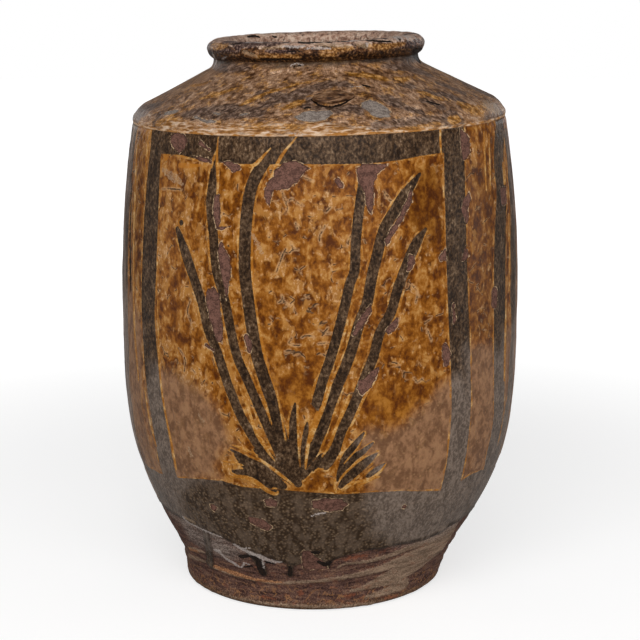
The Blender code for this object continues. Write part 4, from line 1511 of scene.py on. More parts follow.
def section_rings(index):
    """One section's rings, in order round its cross-section, and the ring that no band follows."""
    name, _, inner, _, _ = SECTIONS[index]
    first, last = SPANS[index]
    rings = list(OUTSIDE[first : last + 1])
    if inner is None:
        return rings, None
    inside = rings_on(inner, INNER_STEP)
    rings.append(middle_ring(rings[-1], inside[0], -1))
    rings += list(inside)
    if name != "base_disc":
        rings.append(middle_ring(rings[-1], rings[0], 1))
        return rings, None
    floor_middle = len(rings) - 1
    for start, end in zip(UNDERSIDE[:-1], UNDERSIDE[1:]):
        rings += list(rings_on((start, end), UNDER_STEP)[:-1])
    return rings, floor_middle


def ring_numbers(ring):
    """The vertex numbers of a ring."""
    return np.arange(COLUMNS) + COLUMNS * ring


def build_section(index, materials):
    """One closed mesh of a section, its attributes, normals, bake map and materials."""
    name, _, _, _, slot = SECTIONS[index]
    first, last = SPANS[index]
    bands = last - first
    rings, skip = section_rings(index)
    count = len(rings)
    points = np.concatenate(rings)
    after = [(k, (k + 1) % count) for k in range(count) if k != skip]
    faces = [ring_quads(ring_numbers(k), ring_numbers(next_k)).tolist() for k, next_k in after]
    corners = [
        strip_map(bands, *OUTSIDE_PART, STRIPS[name]),
        strip_map(len(faces) - bands, *HIDDEN_PART, 1),
    ]
    faces = sum(faces, [])
    if skip is not None:
        for ring_index, way in ((skip, 1), (skip + 1, -1)):
            ring = ring_numbers(ring_index)
            fan = np.stack([ring, np.roll(ring, -1), np.full(COLUMNS, len(points))], 1)[:, ::way]
            points = np.concatenate([points, points[ring].mean(0, keepdims=True)])
            faces += fan.tolist()
            corners.append(np.full((3 * COLUMNS, 2), FAN_CORNER))
    mesh = bpy.data.meshes.new(name + "_look")
    mesh.from_pydata(points.tolist(), [], faces)
    mesh.uv_layers.new(name="OFBake")
    mesh.uv_layers[0].data.foreach_set("uv", np.concatenate(corners).ravel())
    shown = (last - first + 1) * COLUMNS
    for key, (grid, elsewhere) in CARRIED.items():
        values = np.full(len(points), float(elsewhere))
        values[:shown] = grid[first : last + 1].ravel()
        add_attribute(mesh, key, values)
    for key, grid in (("place", UNROLLED), ("flow", FLOW)):
        values = points.copy()
        values[:shown] = grid[first : last + 1].reshape(-1, 3)
        add_attribute(mesh, key, values, "FLOAT_VECTOR")
    normals = np.zeros((len(points), 3))
    normals[:shown] = NORMALS[first : last + 1].reshape(-1, 3)
    mesh.shade_smooth()
    mesh.normals_split_custom_set_from_vertices(normals.tolist())
    hidden = np.zeros(len(faces), np.int32)
    hidden[bands * COLUMNS :] = 1
    for material in materials:
        mesh.materials.append(material)
    mesh.polygons.foreach_set("material_index", hidden)
    piece = link(bpy.data.objects.new(name + "_look", mesh))
    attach(piece, BODY)
    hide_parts(name)


def link(item):
    """Puts an object into the scene."""
    bpy.context.scene.collection.objects.link(item)
    return item


RIDGES = foot_ridges() * HIDDEN_SHARE
RIM_START = float(ALONG[SPANS[ROLLED_RIM][0]]) / MM
RIM_MIDDLE = RIM_SEAT_HEIGHT + RIM_BULGE_RISE
CREST = soft_step(GRID_HEIGHT, RIM_MIDDLE, RIM_MIDDLE + RIM_CREST_RISE)
CREST[ROWS[:, 1].argmax() :] = 1
FRONT = 1 - turned_away(GRID_AZIMUTH, -3, 50, 74)
# What each point carries to the materials: the grid's values, and the value away from the outside
CARRIED = {kind: (grid / MM, REACH / MM) for kind, grid in marks.items()}
CARRIED["front"] = (FRONT, 0)
CARRIED["along"] = (GRID_ALONG / MM, 0)
CARRIED["crease"] = ((GRID_ALONG - CREASE) / MM, 0)
CARRIED["crest"] = (CREST, 0)
CARRIED["ridge"] = (RIDGES, 0)


def lump_point(along, up, lift):
    """Points over the shoulder, placed from the lump's middle."""
    middle = NECK_RADIUS + LUMP_DISTANCE
    radius = middle - up * math.cos(SLOPE_ANGLE)
    azimuth = LUMP_ANGLE + along / middle
    place = radius + lift * math.sin(SLOPE_ANGLE)
    return around(place, azimuth, shoulder_height(radius) + lift * math.cos(SLOPE_ANGLE))


def lump_outline(turn, share=1.0, squeeze=1.0):
    """Distances along and up the shoulder from the lump's middle, at a share of its size."""
    across = np.cos(turn)
    taper = np.where(across > 0, 1 - LUMP_TAIL * across**2, 1 - LUMP_BLUNT * across**4)
    up = squeeze * LUMP_WIDTH / 2 * share * np.sin(turn) * taper + LUMP_SKEW * share * across
    return LUMP_LENGTH / 2 * share * across, up


def build_lump(material):
    """The flat lump of clay on the front of the shoulder, drawn out to a tail on its right."""
    turn = 2 * math.pi * np.arange(LUMP_SEGMENTS) / LUMP_SEGMENTS
    made = [lump_point(*lump_outline(turn, squeeze=0.97), -0.0002)]
    for k in range(LUMP_RINGS):
        share = 1 - k / LUMP_RINGS
        lift = LUMP_THICKNESS * (0.33 + 0.67 * math.sqrt(1 - share**4))
        along, up = lump_outline(turn, share)
        wave = 0.0005 * np.sin(up / 0.0011 + 1.5 * np.sin(along / 0.006)) * (1 - share**6)
        rough = 0.0004 * noise(np.stack([along, up, 0 * up], -1), 0.003, 21, 2)
        made.append(lump_point(along, up, lift + wave + rough - 0.0004))
    points = np.concatenate(made + [made[-1].mean(0, keepdims=True), made[0].mean(0, keepdims=True)])
    faces = []
    for k in range(len(made) - 1):
        ring = np.arange(LUMP_SEGMENTS) + LUMP_SEGMENTS * k
        faces += ring_quads(ring, ring + LUMP_SEGMENTS).tolist()
    bottom = np.arange(LUMP_SEGMENTS)
    top = bottom + LUMP_SEGMENTS * (len(made) - 1)
    fans = ((top, np.roll(top, -1), len(points) - 2), (np.roll(bottom, -1), bottom, len(points) - 1))
    for first, second, middle in fans:
        faces += np.stack([first, second, np.full(LUMP_SEGMENTS, middle)], 1).tolist()
    points = settle(points)
    mesh = bpy.data.meshes.new("shoulder_lump_look")
    mesh.from_pydata(points.tolist(), [], faces)
    add_attribute(mesh, "place", points, "FLOAT_VECTOR")
    mesh.shade_smooth()
    mesh.materials.append(material)
    piece = link(bpy.data.objects.new("shoulder_lump_look", mesh))
    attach(piece, BODY)
    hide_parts("shoulder_lump")


# Materials


def rgb(red, green, blue):
    """A linear colour from screen values."""
    screen = (red, green, blue)
    return tuple(c / 12.92 if c <= 0.04045 else ((c + 0.055) / 1.055) ** 2.4 for c in screen) + (1.0,)


SPECULAR = 0.12
SEED_SHIFTS = (7.31, 3.7, 5.1)


class Graph:
    """Builds one material's nodes; inputs are sockets or plain values."""

    def __init__(self, name):
        self.material = bpy.data.materials.new(name)
        self.material.use_nodes = True
        self.tree = self.material.node_tree
        self.tree.nodes.clear()
        self.known = {}

    def node(self, kind, inputs, output=0, **settings):
        made = self.tree.nodes.new("ShaderNode" + kind)
        for key, value in settings.items():
            setattr(made, key, value)
        for key, value in inputs.items():
            socket = made.inputs[key]
            if isinstance(value, bpy.types.NodeSocket):
                self.tree.links.new(value, socket)
            else:
                socket.default_value = value
        return made.outputs[output]

    def attribute(self, name, output="Fac"):
        if name not in self.known:
            self.known[name] = self.node("Attribute", {}, output, attribute_name=name)
        return self.known[name]

    def math(self, operation, first, second=0.0, third=0.0):
        return self.node("Math", {0: first, 1: second, 2: third}, operation=operation)

    def add(self, first, second):
        return self.math("ADD", first, second)

    def times(self, first, second):
        return self.math("MULTIPLY", first, second)

    def less(self, first, second):
        return self.math("SUBTRACT", first, second)

    def step(self, value, low, high, bottom=0.0, top=1.0):
        values = {"Value": value, "From Min": low, "From Max": high, "To Min": bottom, "To Max": top}
        return self.node("MapRange", values, interpolation_type="SMOOTHSTEP")

    def band(self, value, middle, half, soft):
        """1 within half of the middle, falling to 0 over the soft distance."""
        away = self.math("ABSOLUTE", self.less(value, middle))
        return self.step(away, half, half + soft, 1.0, 0.0)

    def mix(self, factor, first, second, blend="MIX"):
        made = self.tree.nodes.new("ShaderNodeMix")
        made.data_type = "RGBA"
        made.blend_type = blend
        for socket, value in ((made.inputs[0], factor), (made.inputs[6], first), (made.inputs[7], second)):
            if isinstance(value, bpy.types.NodeSocket):
                self.tree.links.new(value, socket)
            else:
                socket.default_value = value
        return made.outputs[2]

    def shade(self, colour, value):
        """The colour made lighter or darker by a value around 1."""
        if isinstance(colour, tuple):
            colour = colour[:3]
        return self.node("VectorMath", {0: colour, "Scale": value}, operation="SCALE")

    def where(self, across, along, seed, over="place"):
        """The unrolled place in lumps of a given size."""
        place = self.attribute(over, "Vector")
        scale = (1000 / across, 1000 / across, 1000 / along)
        shift = tuple(seed * apart for apart in SEED_SHIFTS)
        return self.node("VectorMath", {0: place, 1: scale, 2: shift}, operation="MULTIPLY_ADD")

    def noise(self, across, along=None, detail=3.0, seed=0, roughness=0.55, warp=0.0, over="place"):
        """Noise from 0 to 1 with lumps of a size in millimetres."""
        key = ("noise", across, along, detail, seed, roughness, warp, over)
        if key not in self.known:
            values = {
                "Vector": self.where(across, along or across, seed, over),
                "Scale": 1.0,
                "Detail": detail,
                "Roughness": roughness,
                "Distortion": warp,
            }
            self.known[key] = self.node("TexNoise", values)
        return self.known[key]

    def cracks(self, size, seed, warp=0.35, detail=3.0):
        """Distance from the edges of warped cells of a size in millimetres."""
        place = self.where(size, size, seed)
        bend = self.node("TexNoise", {"Vector": place, "Scale": 1.3, "Detail": detail}, "Color")
        moved = self.node("VectorMath", {0: bend, 1: (warp,) * 3, 2: place}, operation="MULTIPLY_ADD")
        values = {"Vector": moved, "Scale": 1.0}
        return self.node("TexVoronoi", values, "Distance", feature="DISTANCE_TO_EDGE")

    def spots(self, size, seed, output="Distance"):
        """Distance from scattered points about one size apart, in millimetres."""
        return self.node("TexVoronoi", {"Vector": self.where(size, size, seed), "Scale": 1.0}, output)

    def ramp(self, value, *stops):
        """A colour for a value, from stops that each give a value and a screen colour."""
        made = self.tree.nodes.new("ShaderNodeValToRGB")
        band = made.color_ramp
        while len(band.elements) < len(stops):
            band.elements.new(0.5)
        for element, (place, *colour) in zip(band.elements, stops):
            element.position = place
            element.color = rgb(*colour)
        self.tree.links.new(value, made.inputs[0])
        return made.outputs[0]

    def finish(self, colour, roughness, height):
        """Joins colour, roughness and relief height in metres to the surface."""
        bump = self.node("Bump", {"Height": height, "Distance": 1.0, "Strength": 1.0})
        values = {"Base Color": colour, "Roughness": roughness, "Normal": bump}
        shader = self.node("BsdfPrincipled", values | {"Specular IOR Level": SPECULAR})
        output = self.tree.nodes.new("ShaderNodeOutputMaterial")
        self.tree.links.new(shader, output.inputs["Surface"])
        return self.material


def rough_edge(g, name, amount=0.9, size=1.6, seed=3):
    """A kind's distance in millimetres, with a broken edge."""
    wander = g.times(g.less(g.noise(size, detail=4.0, seed=seed, roughness=0.62), 0.5), amount * 2)
    return g.add(g.attribute(name), wander)


def sheen_share(g):
    """How much painted sheen lies over the glaze, 0 to 1, with a wide wandering edge."""
    return g.step(rough_edge(g, "painted_sheen", 8.0, 14.0, 55), -9.0, 9.0, 1.0, 0.0)


def deepened(g):
    """How deep and clear the amber is, 0 to 1."""
    return g.step(rough_edge(g, "deep", 8.0, 12.0, 61), -5.0, 6.0, 1.0, 0.0)


def flowing(g, across, along, seed, detail=3.0, warp=0.0):
    """Noise drawn out along the shoulder's streaks in front, and straight down the slope at the sides."""
    front = g.noise(across, along, detail, seed, 0.58, warp, "flow")
    side = g.noise(across, along, detail, seed + 0.5, 0.58, warp)
    return g.add(side, g.times(g.attribute("front"), g.less(front, side)))


def amber_ground(g):
    """The mottled amber glaze of the panels, clouded with tan slip, with deep places, painted shade and
    painted sheen.
    """
    blotch = g.noise(7.5, 12.0, detail=3.0, seed=1, roughness=0.5, warp=0.4)
    fine = g.noise(2.6, 3.8, detail=3.0, seed=2, roughness=0.6)
    tone = g.add(g.times(blotch, 0.64), g.times(fine, 0.36))
    colour = g.ramp(
        tone,
        (0.39, 0.32, 0.15, 0.01),
        (0.45, 0.42, 0.225, 0.02),
        (0.505, 0.51, 0.29, 0.05),
        (0.56, 0.60, 0.375, 0.125),
        (0.64, 0.72, 0.52, 0.28),
    )
    deep = deepened(g)
    rich = g.ramp(tone, (0.40, 0.33, 0.155, 0.01), (0.50, 0.47, 0.26, 0.03), (0.61, 0.63, 0.40, 0.12))
    colour = g.mix(g.times(deep, 0.9), colour, rich)
    cluster = g.noise(24.0, 34.0, detail=2.0, seed=38)
    cloud = g.noise(6.5, 12.0, detail=3.0, seed=39, roughness=0.5, warp=0.3)
    # the photograph's panel is paler towards its left
    x = g.node("SeparateXYZ", {0: g.attribute("place", "Vector")}, "X")
    leftward = g.step(x, -0.09, 0.09, 0.035, -0.03)
    pale = g.step(g.add(g.add(g.times(cloud, 0.7), g.times(cluster, 0.3)), leftward), 0.525, 0.60)
    pale = g.times(pale, g.less(1.0, g.times(deep, 0.85)))
    grain = g.noise(1.0, detail=2.0, seed=4)
    chalk = g.noise(2.4, 3.6, detail=3.0, seed=68, roughness=0.6)
    colour = g.mix(g.times(pale, 0.72), colour, rgb(0.69, 0.475, 0.225))
    colour = g.mix(g.times(pale, g.step(chalk, 0.52, 0.64, 0.0, 0.7)), colour, rgb(0.81, 0.64, 0.46))
    # painted shade: the strips towards the sides and the upper right made darker
    painted_shade = g.step(rough_edge(g, "painted_shade", 7.0, 12.0, 71), -6.0, 5.0, 0.76, 1.0)
    colour = g.shade(colour, g.times(painted_shade, g.add(g.times(grain, 0.40), 0.80)))
    # painted sheen: the amber turned paler, pinker and greyer where the sheen is laid
    sheened_amber = g.mix(g.step(tone, 0.40, 0.60), rgb(0.445, 0.315, 0.22), rgb(0.595, 0.445, 0.33))
    sheened_amber = g.mix(g.step(g.spots(4.6, 62), 0.08, 0.30, 0.5, 0.0), sheened_amber, rgb(0.68, 0.52, 0.37))
    sheened_amber = g.shade(sheened_amber, g.add(g.times(grain, 0.24), 0.88))
    return g.mix(g.times(sheen_share(g), 0.88), colour, sheened_amber), tone, pale


def flakes(g, colour, height):
    """Cracked flakes with a pale halo and a dark core, scattered and where strokes place them."""
    edge = g.cracks(15.0, 6, 0.25, 2.0)
    calm = g.math("MAXIMUM", deepened(g), g.times(sheen_share(g), 0.8))
    some = g.times(g.step(g.noise(8.0, detail=2.0, seed=7), 0.575, 0.61), g.less(1.0, calm))
    placed = rough_edge(g, "crack", 0.8, 1.8, 41)
    halo = g.times(g.step(edge, 0.02, 0.11, 0.8, 0.0), some)
    halo = g.math("MAXIMUM", halo, g.step(placed, 0.3, 2.0, 1.0, 0.0))
    halo = g.times(halo, g.step(g.noise(2.6, detail=3.0, seed=42), 0.34, 0.56, 0.25, 1.0))
    core = g.times(g.step(edge, 0.012, 0.042, 1.0, 0.0), some)
    core = g.math("MAXIMUM", core, g.step(placed, 0.0, 0.6, 1.0, 0.0))
    core = g.times(core, g.step(g.noise(4.0, detail=2.0, seed=64), 0.36, 0.50))
    colour = g.mix(g.times(halo, 0.70), colour, rgb(0.78, 0.61, 0.43))
    colour = g.mix(g.times(core, 0.85), colour, rgb(0.14, 0.075, 0.04))
    height = g.add(height, g.times(halo, 0.00012))
    return colour, g.less(height, g.times(core, 0.00025))


def dark_paint(g):
    """The dark painted glaze: flecked brown-black, bubbly olive at the foot, smooth and grey under the
    painted sheen.
    """
    fleck = g.noise(2.0, 3.0, detail=3.0, seed=8, roughness=0.65)
    patch = g.noise(7.0, 13.0, detail=3.0, seed=9)
    tone = g.add(g.times(fleck, 0.66), g.times(patch, 0.34))
    colour = g.ramp(
        tone,
        (0.38, 0.12, 0.07, 0.035),
        (0.46, 0.205, 0.14, 0.08),
        (0.53, 0.30, 0.22, 0.15),
        (0.60, 0.40, 0.31, 0.225),
        (0.70, 0.56, 0.47, 0.38),
    )
    # painted light: the dark band made lighter just under the crease, where it catches the light
    colour = g.shade(colour, g.step(g.attribute("crease"), -26.0, -6.0, 1.0, 1.22))
    bubble = g.spots(2.7, 53)
    olive = g.ramp(bubble, (0.05, 0.51, 0.43, 0.34), (0.28, 0.385, 0.305, 0.23), (0.55, 0.21, 0.15, 0.095))
    olive = g.mix(g.step(patch, 0.42, 0.60, 0.0, 0.6), olive, rgb(0.405, 0.335, 0.275))
    olive = g.shade(olive, g.add(0.68, g.times(fleck, 0.64)))
    low = g.step(g.attribute("along"), 125.0, 150.0, 0.95, 0.0)
    colour = g.mix(low, colour, olive)
    # painted sheen turns the dark paint smooth grey
    grey = g.mix(g.step(tone, 0.42, 0.60), rgb(0.37, 0.315, 0.275), rgb(0.535, 0.47, 0.42))
    return g.mix(g.times(sheen_share(g), 0.85), colour, grey), g.less(fleck, g.times(g.times(bubble, low), 0.6))


# Worn places: kind, light and deep colour, roughness, depth, and how far and how finely the edge wanders
WORN = (
    ("grey", rgb(0.62, 0.57, 0.53), rgb(0.42, 0.37, 0.34), 0.62, 0.00016, (2.4, 5.0)),
    ("chip", rgb(0.475, 0.335, 0.285), rgb(0.30, 0.20, 0.165), 0.66, 0.00030, (2.4, 5.0)),
    # black strokes: pits and dark drips, and painted shade and shadows under the rim, the lump and the
    # white streak
    ("black", rgb(0.17, 0.12, 0.09), rgb(0.08, 0.055, 0.04), 0.5, 0.0003, (1.2, 2.5)),
)


def wear(g, colour, roughness, height):
    """Chipped, bare, pale and pitted places over any glaze, and painted shade, shadows, highlights and
    glints laid as black, pale and white strokes.
    """
    grain = g.noise(1.1, detail=3.0, seed=11)
    pool = g.noise(3.2, detail=3.0, seed=56)
    broken = g.step(g.noise(3.0, detail=3.0, seed=44), 0.45, 0.56)
    for name, light, deep, rough, depth, wander in WORN:
        edge = rough_edge(g, name, *wander, 45)
        inside = g.step(edge, -0.12, 0.12, 1.0, 0.0)
        body = g.mix(g.step(g.add(g.times(grain, 0.5), g.times(pool, 0.5)), 0.38, 0.60), deep, light)
        body = g.mix(g.band(edge, -0.35, 0.15, 0.3), body, deep)
        if name != "black":
            rim = g.times(g.band(edge, 0.34, 0.16, 0.36), broken)
            colour = g.mix(g.times(rim, 0.85), colour, rgb(0.76, 0.64, 0.50))
        colour = g.mix(inside, colour, body)
        roughness = g.mix(inside, roughness, (rough,) * 3 + (1.0,))
        height = g.less(height, g.times(inside, depth))
    # pale strokes: pale slip and flakes, and painted highlights on the rim's roll
    pale = g.step(rough_edge(g, "pale", 3.2, 2.4, 46), -0.3, 0.4, 1.0, 0.0)
    pale = g.times(pale, g.step(grain, 0.40, 0.55, 0.15, 0.9))
    colour = g.mix(g.times(pale, 0.7), colour, rgb(0.68, 0.57, 0.45))
    # white strokes: white streaks on the foot, and painted highlights and glints
    white = g.step(rough_edge(g, "white", 2.6, 1.7, 59), -0.35, 0.25, 1.0, 0.0)
    white = g.times(white, g.step(grain, 0.36, 0.52, 0.25, 1.0))
    return g.mix(g.times(white, 0.85), colour, rgb(0.74, 0.69, 0.66)), roughness, height


def crease_line(g, colour, height, calm=0.0):
    """The bright run of glaze along the crease, with painted highlights in its palest tones, weaker in the
    painted shade and where calm is 1.
    """
    crease = g.attribute("crease")
    wander = g.times(g.less(g.noise(14.0, 6.0, detail=4.0, seed=13, roughness=0.6), 0.5), 24.0)
    above = g.add(crease, wander)
    glow = g.times(g.step(above, 3.0, 14.0, 1.0, 0.0), g.step(crease, -1.4, -0.4))
    faint = g.step(g.attribute("painted_shade"), -4.0, 6.0, 0.65, 0.0)
    glow = g.times(glow, g.less(1.0, g.math("MAXIMUM", faint, calm)))
    patchy = g.step(g.noise(15.0, 6.0, detail=3.0, seed=14, roughness=0.6), 0.34, 0.52, 0.3, 1.0)
    fine = g.noise(9.0, 2.2, detail=3.0, seed=15, roughness=0.6, warp=0.4)
    # amber of the glaze thinned over the edge, paling to painted highlight
    warm = g.ramp(
        fine,
        (0.38, 0.44, 0.27, 0.12),
        (0.46, 0.62, 0.43, 0.23),
        (0.53, 0.75, 0.59, 0.44),
        (0.63, 0.88, 0.78, 0.69),
    )
    colour = g.mix(g.times(g.times(glow, patchy), 0.9), colour, warm)
    # the bright line on the crease itself: thinned glaze and painted highlight
    broken = g.step(g.noise(9.0, 4.0, detail=3.0, seed=16), 0.36, 0.54, 0.15, 1.0)
    line = g.times(g.band(crease, 0.2, 0.5, 1.0), broken)
    bright = g.mix(g.step(fine, 0.42, 0.6), rgb(0.70, 0.47, 0.22), rgb(0.88, 0.75, 0.62))
    return g.mix(line, colour, bright), g.add(height, g.times(g.times(glow, fine), 0.0006))


def slip_lines(g, colour, height):
    """The raised slip lines outside the dark strokes and the ones drawn by themselves."""
    edge = rough_edge(g, "dark", 0.6, 1.8, 18)
    strength = g.noise(9.0, detail=3.0, seed=19, roughness=0.6)
    present = g.step(strength, 0.40, 0.58, 0.08, 1.0)
    width = g.step(g.noise(13.0, detail=1.0, seed=47), 0.35, 0.65, 0.20, 0.95)
    away = g.math("ABSOLUTE", g.less(edge, g.add(width, 0.25)))
    line = g.times(g.step(g.less(away, width), -0.15, 0.50, 1.0, 0.0), present)
    drawn = g.step(rough_edge(g, "line", 0.5, 1.4, 48), -0.25, 0.45, 1.0, 0.0)
    wide_tint = g.noise(7.0, detail=2.0, seed=20)
    fine_tint = g.noise(1.5, detail=3.0, seed=49)
    tint = g.add(g.times(wide_tint, 0.6), g.times(fine_tint, 0.4))
    slip = g.ramp(
        tint,
        (0.38, 0.58, 0.35, 0.08),
        (0.48, 0.69, 0.45, 0.16),
        (0.55, 0.77, 0.57, 0.31),
        (0.66, 0.85, 0.70, 0.49),
    )
    colour = g.mix(g.times(line, 0.85), colour, slip)
    return colour, g.add(height, g.times(line, 0.00025)), edge, slip, drawn


def flank_streaks(g, colour, height):
    """Painted sheen on the flanks: upright lighter and darker streaks, with lilac and near-black runs in
    their middle.
    """
    wander = g.times(g.less(g.noise(14.0, 40.0, detail=3.0, seed=65), 0.5), 30.0)
    flank = g.add(g.attribute("flank"), wander)
    streak = g.noise(5.0, 46.0, detail=4.0, seed=60, roughness=0.6)
    narrow = g.noise(2.6, 30.0, detail=3.0, seed=72, roughness=0.6)
    zone = g.step(flank, -14.0, 9.0, 0.8, 0.0)
    middle = g.step(flank, -28.0, 2.0, 1.0, 0.0)
    level = g.step(g.add(g.times(streak, 0.5), g.times(narrow, 0.5)), 0.40, 0.60, 0.70, 1.30)
    colour = g.mix(zone, colour, g.shade(colour, level))
    colour = g.mix(g.times(zone, g.step(streak, 0.55, 0.62, 0.0, 0.5)), colour, rgb(0.66, 0.52, 0.37))
    lilac = g.mix(g.step(narrow, 0.44, 0.58), rgb(0.56, 0.475, 0.435), rgb(0.74, 0.65, 0.61))
    colour = g.mix(g.times(middle, g.step(streak, 0.44, 0.58, 0.16, 0.68)), colour, lilac)
    colour = g.mix(g.times(middle, g.step(streak, 0.36, 0.44, 0.6, 0.0)), colour, rgb(0.14, 0.10, 0.08))
    return colour, g.add(height, g.times(g.times(zone, streak), 0.0018))


def painted_glaze(g):
    """The panels' amber with its dark strokes, slip lines and the painted sheen of its streaked flanks."""
    colour, tone, pale = amber_ground(g)
    height = g.add(g.times(tone, 0.0008), g.times(g.noise(1.3, detail=2.0, seed=17), 0.00008))
    height = g.add(height, g.times(pale, 0.00022))
    colour, height = flakes(g, colour, height)
    # amber strokes: amber glaze, and at the lit places along the crease painted light
    wide = g.step(rough_edge(g, "amber", 1.0, 3.0), -0.2, 0.6, 1.0, 0.0)
    colour = g.mix(g.times(wide, 0.7), colour, rgb(0.70, 0.44, 0.13))
    dark, speck = dark_paint(g)
    colour, height, edge, slip, drawn = slip_lines(g, colour, height)
    inside = g.step(edge, -0.2, 0.25, 1.0, 0.0)
    colour = g.mix(inside, colour, dark)
    colour = g.mix(g.times(drawn, 0.9), colour, slip)
    height = g.add(height, g.times(g.times(inside, speck), 0.0005))
    height = g.add(height, g.times(drawn, 0.00025))
    colour, height = flank_streaks(g, colour, height)
    return colour, g.add(0.28, g.times(g.noise(5.0, detail=3.0, seed=21), 0.16)), height


def wall_glaze(g):
    """Colour, roughness and height of the painted wall up to the crease."""
    colour, gloss, height = painted_glaze(g)
    colour, height = crease_line(g, colour, height)
    return wear(g, colour, gloss, height)


def foot_clay(g):
    """The bare clay of the foot: mauve-brown, with ochre ridges, red and crackled places, and grey painted
    sheen.
    """
    streak = g.noise(22.0, 3.6, detail=4.0, seed=22, roughness=0.6, warp=0.4)
    grain = g.noise(1.7, 1.2, detail=3.0, seed=23, roughness=0.62)
    tone = g.add(g.times(streak, 0.5), g.times(grain, 0.5))
    colour = g.ramp(
        tone,
        (0.38, 0.17, 0.11, 0.09),
        (0.46, 0.29, 0.20, 0.175),
        (0.54, 0.39, 0.28, 0.24),
        (0.64, 0.53, 0.41, 0.33),
    )
    thread = g.step(g.cracks(6.0, 63, 0.8), 0.04, 0.13, 1.0, 0.0)
    low = g.step(g.attribute("along"), 16.0, 30.0, 1.0, 0.25)
    thread = g.times(g.times(thread, low), g.step(g.noise(7.0, 4.0, detail=2.0, seed=66), 0.47, 0.56))
    colour = g.mix(g.times(thread, 0.7), colour, rgb(0.62, 0.44, 0.29))
    toe = g.step(g.add(g.attribute("along"), g.times(grain, 12.0)), 12.0, 20.0, 0.6, 0.0)
    worn_toe = g.mix(g.step(grain, 0.42, 0.60), rgb(0.27, 0.19, 0.14), rgb(0.58, 0.46, 0.34))
    colour = g.mix(toe, colour, worn_toe)
    ochre = g.mix(g.step(tone, 0.40, 0.60), rgb(0.44, 0.355, 0.285), rgb(0.64, 0.54, 0.45))
    ridge = g.step(g.add(g.attribute("ridge"), g.times(g.less(streak, 0.5), 1.6)), 0.35, 0.85)
    tan = g.step(rough_edge(g, "tan", 3.0, 3.4, 57), -0.6, 0.9, 1.0, 0.0)
    colour = g.mix(g.times(g.math("MAXIMUM", ridge, tan), 0.85), colour, ochre)
    orange = g.step(rough_edge(g, "amber", 1.8, 3.0), -0.4, 0.7, 0.9, 0.0)
    burnt = g.mix(g.step(grain, 0.42, 0.6), rgb(0.50, 0.33, 0.22), rgb(0.72, 0.52, 0.36))
    colour = g.mix(orange, colour, burnt)
    spread = g.times(g.step(g.noise(9.0, 4.0, detail=3.0, seed=24), 0.57, 0.66), 0.3)
    red = g.step(rough_edge(g, "red", 4.0, 3.4, 58), -1.0, 1.2, 0.7, 0.0)
    brick = g.mix(grain, rgb(0.38, 0.18, 0.12), rgb(0.62, 0.38, 0.27))
    colour = g.mix(g.math("MAXIMUM", spread, red), colour, brick)
    # grey painted sheen where the painted sheen reaches the foot
    sheened_clay = g.mix(g.step(grain, 0.40, 0.58), rgb(0.36, 0.31, 0.28), rgb(0.60, 0.54, 0.50))
    colour = g.mix(g.times(sheen_share(g), g.step(streak, 0.36, 0.52, 0.4, 0.85)), colour, sheened_clay)
    colour = g.shade(colour, g.add(0.84, g.times(grain, 0.40)))
    height = g.add(g.times(grain, 0.0005), g.times(streak, 0.0009))
    height = g.add(height, g.times(thread, 0.0003))
    return colour, g.add(height, g.times(tan, 0.0003))


def lower_glaze(g):
    """The painted wall down to the glaze's edge and the bare foot under it."""
    colour, roughness, height = painted_glaze(g)
    clay, clay_height = foot_clay(g)
    edge = rough_edge(g, "glaze", 1.6, 2.4, 26)
    bare = g.step(edge, -0.1, 0.3, 1.0, 0.0)
    broken = g.step(g.noise(14.0, detail=2.0, seed=67), 0.40, 0.55, 0.25, 0.75)
    lip = g.times(g.band(edge, 1.4, 0.8, 2.6), broken)
    colour = g.mix(lip, colour, rgb(0.13, 0.09, 0.06))
    colour = g.mix(bare, colour, clay)
    # painted shadow just under the glaze's edge
    colour = g.mix(g.times(g.band(edge, -0.3, 0.3, 1.4), 0.45), colour, rgb(0.17, 0.115, 0.09))
    roughness = g.mix(bare, roughness, (0.75, 0.75, 0.75, 1.0))
    height = g.mix(bare, height, clay_height)
    return wear(g, colour, roughness, height)


